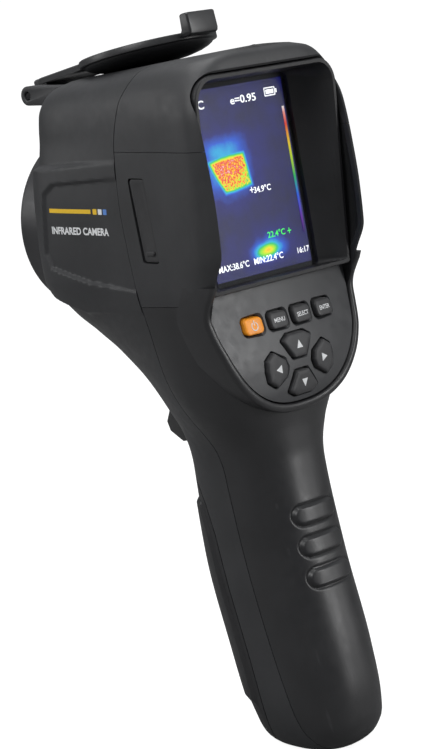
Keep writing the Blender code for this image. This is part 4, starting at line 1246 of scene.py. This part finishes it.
def build_keys(mats):
    build_panel(mats)
    words = {name: word for name, _, word in ROW_KEYS}
    arrows = {"up_key": 0.0, "right_key": -90.0, "down_key": 180.0, "left_key": 90.0}
    for name, (x, z), outline in key_outlines():
        face = panel_y(x, z)
        slope_x = (panel_y(x + 2.0, z) - panel_y(x - 2.0, z)) / 4.0
        slope_z = (panel_y(x, z + 2.0) - panel_y(x, z - 2.0)) / 4.0

        def place(u, v, w=0.0, rise=1.04):
            return (x + u, face - rise + slope_x * u + slope_z * v - w, z + v)
        rings = [[(x + u, face + KEY_BASE, z + v) for u, v in outline]]
        for scale, proud in ((1.0, 0.3), (0.985, 0.52), (0.95, 0.72), (0.9, 0.85), (0.84, 0.92),
                             (0.6, 0.98), (0.3, 1.0)):
            rings.append([place(u * scale, v * scale, 0.0, proud) for u, v in outline])
        slot = "key_orange" if name == "power_key" else "key_rubber"
        cap = loft(f"{name}_cap", rings, mats[slot])
        settle(cap, name, name, slot=slot)
        if name == "power_key":
            marks = power_symbol(place, mats["ink_white"])
        elif words.get(name):
            marks = [text_mesh(f"{name}_text", words[name], 1.8, place, mats["ink_white"],
                               0.04, width={"MENU": 4.6, "SELECT": 5.2, "ENTER": 4.8}[
                                   words[name]])]
        else:
            turn = math.radians(arrows[name])
            tip = [(0.0, 1.5), (-1.3, -0.95), (1.3, -0.95)]
            tip = [(u * math.cos(turn) - v * math.sin(turn),
                    u * math.sin(turn) + v * math.cos(turn)) for u, v in tip]
            marks = [flat_shape(f"{name}_arrow", rounded_polygon(tip, 0.1, 3), place,
                                mats["ink_white"])]
        settle(join(f"{name}_legend", marks), name, slot=slot)


# ---------------------------------------------------------------- lens and cover

def build_lens(mats):
    at = (0.0, 0.0, LENS_Z)
    back, floor, rim, lip = FRONT_Y + 0.3, 72.2, BEZEL_RADIUS, BEZEL_FRONT_Y
    profile = [(16.8, back), (rim, back), (rim, lip - 2.2)]
    profile += [(r, y) for r, y in arc((rim - 2.0, lip - 2.0), 2.0, 0, 90, 10)]
    profile += [(rim - 2.2, lip - 0.3), (rim - 2.4, lip - 0.9), (rim - 2.4, floor + 0.4),
                (rim - 2.8, floor), (16.8, floor)]
    bezel = turned("bezel_ring", profile, "Y", at, mats["bezel_dark"], 160)
    cutters = []
    for name, low, high in (("notch_top", (-12.8, 77.2, 180.0), (12.8, 90.0, 200.0)),
                            ("notch_foot", (-7.0, 72.5, 124.0), (7.0, 90.0, 144.0))):
        corners = [(low[0], low[2]), (high[0], low[2]), (high[0], high[2]), (low[0], high[2])]
        cutters.append((prism(name, corners, "Y", low[1], high[1]), "DIFFERENCE"))
    cutters.append((turned("camera_bore", [(0.0, 60.0), (3.2, 60.0), (3.2, 90.0), (0.0, 90.0)],
                           "Y", (0.0, 0.0, CAMERA_Z), None, 48), "DIFFERENCE"))
    carve(bezel, cutters)
    settle(bezel, "housing", "lens_bezel", slot="bezel_dark")

    collar = [(15.0, 72.5), (20.5, 72.5)]
    for k in range(4):
        y = 72.9 + k * 0.8
        collar += [(20.75, y), (20.75, y + 0.45), (20.45, y + 0.55), (20.45, y + 0.7)]
    collar += [(20.7, 76.3), (20.2, 77.0), (19.4, 77.4), (14.8, 77.4), (14.3, 77.1),
               (12.6, 75.2), (12.4, 74.8), (12.4, 73.8), (15.0, 73.4)]
    settle(turned("collar_ring", collar, "Y", at, mats["bezel_dark"], 128), "housing",
           "lens_collar", slot="bezel_dark")
    lens = [(0.0, 67.5), (11.0, 67.5), (11.2, 67.7), (11.2, 71.1)]
    lens += [(r, 72.6 - 1.45 * (r / 11.2) ** 2) for r in np.linspace(11.1, 0.0, 14)]
    lens = [(float(r), float(y)) for r, y in lens]
    settle(turned("lens_glass", lens, "Y", at, mats["germanium"], 96), "housing",
           "germanium_lens", slot="germanium")
    eye = [(0.0, 64.0), (2.8, 64.0), (2.8, 72.4), (2.65, 72.9), (2.3, 73.15), (2.0, 73.1),
           (1.7, 72.6), (1.6, 72.5)]
    eye += [(r, 72.9 - 0.3 * (r / 1.6) ** 2) for r in (1.4, 1.1, 0.8, 0.4, 0.0)]
    settle(turned("camera_eye", eye, "Y", (0.0, 0.0, CAMERA_Z), mats["bezel_dark"], 48),
           "housing", "visible_camera", slot="bezel_dark")
    seal = [(11.9, 73.1), (14.2, 73.1), (14.25, 73.25), (14.1, 73.4), (12.2, 73.6), (11.95, 73.5)]
    settle(turned("seal_ring", seal, "Y", at, mats["rubber_black"], 96), "housing",
           "lens_seal", slot="rubber_black")


def cover_point(x, reach, rise):
    c, s = math.cos(COVER_LEAN), math.sin(COVER_LEAN)
    return (x, HINGE_Y - reach * c + rise * s, HINGE_Z + reach * s + rise * c)


def build_cover(mats):
    """Flip cover: domed disc with a stepped rim, flat arm, knuckle and thumb latch."""
    mat = mats["cover_dark"]
    steps = 120
    profile = [(1.0, -0.75), (7.0, -0.62), (14.0, -0.2), (17.0, 0.45), (19.0, 1.2), (20.2, 1.9),
               (20.6, 2.4), (20.7, 2.62), (21.5, 2.68), (21.8, 2.78), (22.0, 3.0), (22.0, 4.5),
               (21.85, 4.82), (21.5, 5.0), (19.6, 5.0), (19.3, 4.6), (18.9, 4.5), (9.0, 4.45),
               (1.0, 4.45)]
    rings = [[cover_point(r * math.sin(math.tau * i / steps),
                          COVER_REACH + r * math.cos(math.tau * i / steps), rise)
              for i in range(steps)] for r, rise in profile]
    disc = loft("cover_disc", rings, mat)
    settle(disc, "lens_cover", "lens_cover", slot="cover_dark")

    def plate(name, outline, levels, smooth=40.0):
        return loft(name, [[cover_point(x, r, rise) for x, r in
                            [(u * k + cu * (1 - k), v * k + cv * (1 - k)) for u, v in outline]]
                           for k, rise, cu, cv in levels], mat, smooth=smooth)
    arm = rounded_polygon([(-11.0, 0.6), (11.0, 0.6), (12.2, 14.0), (13.2, 24.4),
                           (-13.2, 24.4), (-12.2, 14.0)], 1.2)
    body = plate("cover_arm", arm, [(0.97, 2.72, 0.0, 12.0), (1.0, 3.0, 0.0, 12.0),
                                    (1.0, 4.6, 0.0, 12.0), (0.98, 4.85, 0.0, 12.0),
                                    (0.95, 4.97, 0.0, 12.0)])
    settle(body, "lens_cover", slot="cover_dark")
    neck = rounded_polygon([(-11.0, -1.7), (11.0, -1.7), (11.0, 4.0), (-11.0, 4.0)], 0.6)
    settle(plate("cover_neck", neck, [(1.0, 0.2, 0.0, 1.0), (1.0, 4.2, 0.0, 1.0),
                                      (0.96, 4.7, 0.0, 1.0), (0.9, 4.9, 0.0, 1.0)]),
           "lens_cover", slot="cover_dark")
    knuckle = [(1.32, -11.9), (2.7, -11.9), (3.0, -11.6), (3.0, 11.6), (2.7, 11.9), (1.32, 11.9)]
    settle(turned("cover_knuckle", knuckle, "X", (0.0, HINGE_Y, HINGE_Z), mat, 64),
           "lens_cover", slot="cover_dark")
    latch = []
    for rise, near, far, half in ((3.4, 62.6, 66.6, 5.9), (3.9, 62.4, 67.3, 6.2),
                                  (4.8, 62.9, 67.6, 6.2), (5.6, 63.5, 67.6, 6.2),
                                  (9.9, 63.9, 67.5, 6.2), (10.25, 64.1, 67.3, 6.0),
                                  (10.4, 64.4, 67.0, 5.7)):
        middle, depth = (near + far) / 2, (far - near) / 2
        latch.append([cover_point(x, r, rise) for x, r in
                      rounded_rect(half, depth, 0.7, (0.0, middle), 5)])
    settle(loft("cover_latch", latch, mat), "lens_cover", slot="cover_dark")


def build_trigger(mats):
    """The CAD lever, with its edges softened."""
    low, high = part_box("trigger")
    low, high = low / MM, high / MM
    source = frame["nodes"]["trigger"]
    lever = bpy.data.objects.new("trigger_lever", source.data.copy())
    SCENE.collection.objects.link(lever)
    bm = bmesh.new()
    bm.from_mesh(lever.data)
    bmesh.ops.remove_doubles(bm, verts=bm.verts, dist=1e-6)
    bmesh.ops.dissolve_limit(bm, angle_limit=math.radians(2.0), verts=bm.verts, edges=bm.edges)
    bm.to_mesh(lever.data)
    bm.free()
    rounded(lever, 0.5, 4)
    lever.data.materials.clear()
    lever.data.materials.append(mats["trigger_rubber"])
    settle(lever, "trigger", "trigger", slot="trigger_rubber")


# ---------------------------------------------------------------- labels

def build_labels(mats):
    """Generic wording and a plain heat-scale mark, printed on each cheek."""
    for side, word in ((-1, "left"), (1, "right")):
        def place(u, v, w, side=side):
            y, z = 46.6 - u * (1 if side < 0 else -1), 165.4 + v
            return (side * (side_surface(y, z) + 0.03 + w), y, z)
        parts = [text_mesh("label_text", "INFRARED CAMERA", 3.1, place, mats["ink_white"], 0.04,
                           width=25.6, bold=0.03)]
        bar = [(-13.0, 5.6), (5.6, 5.6), (5.6, 6.9), (-13.0, 6.9)]
        parts.append(flat_shape("label_bar", rounded_polygon(dense(bar), 0.02, 1), place,
                                mats["ink_amber"]))
        for k, name in enumerate(("ink_amber", "ink_white", "ink_blue")):
            x = 7.4 + k * 2.3
            square = rounded_rect(0.85, 0.85, 0.2, (x, 6.25), 3)
            parts.append(flat_shape("label_chip", square, place, mats[name]))
        settle(join(f"cheek_label_{word}", parts), "housing", slot="housing_grey")


def dense(corners, step=0.8):
    """The same outline with points added along its edges."""
    points = []
    for a, b in zip(corners, corners[1:] + corners[:1]):
        count = max(1, int(math.hypot(b[0] - a[0], b[1] - a[1]) / step))
        points += [(a[0] + (b[0] - a[0]) * i / count, a[1] + (b[1] - a[1]) * i / count)
                   for i in range(count)]
    return points


# ---------------------------------------------------------------- assembly

def dress_nodes(mats):
    """Every CAD node that stays in view takes the finish of its slot."""
    slots = {row["node"]: row["material_slot"] for row in frame["record"]["subparts"]}
    for name, obj in frame["nodes"].items():
        mat = mats[slots[name]]
        if name == "cover_pin":
            mat = mats["pin_black"]
        if not obj.data.materials:
            obj.data.materials.append(mat)
        for index in range(len(obj.material_slots)):
            obj.material_slots[index].material = mat


def lay_floor():
    bm = bmesh.new()
    ring = [bm.verts.new((60.0 * math.cos(a), 60.0 * math.sin(a), 0.0))
            for a in np.linspace(0.0, math.tau, 97)[:-1]]
    bm.faces.new(ring)
    mesh = bpy.data.meshes.new("floor")
    bm.to_mesh(mesh)
    bm.free()
    g = Graph("floor_paper")
    tone = g.mix_colour(g.spread(g.noise(30.0, 3.0), 0.0, 1.0), (0.24, 0.24, 0.24),
                        (0.26, 0.26, 0.26))
    seen = g.tree.nodes.new("ShaderNodeLightPath").outputs["Is Camera Ray"]
    g.set(Base_Color=tone, Roughness=0.9, Emission_Color=(1.0, 1.0, 1.0, 1.0),
          Emission_Strength=g.spread(seen, 0.0, 0.93, 0.0, 1.0),
          Normal=g.bump(g.noise(900.0), 0.00002))
    floor = bpy.data.objects.new("floor", mesh)
    mesh.materials.append(g.material)
    floor.location.z = -0.0005
    SCENE.collection.objects.link(floor)


mats = make_materials()
point_camera()
light_studio()
lay_floor()
dress_nodes(mats)
build_housings(mats)
build_lip(mats)
build_lugs(mats)
build_ports(mats)
build_screen(mats)
build_keys(mats)
build_lens(mats)
build_cover(mats)
build_trigger(mats)
build_labels(mats)
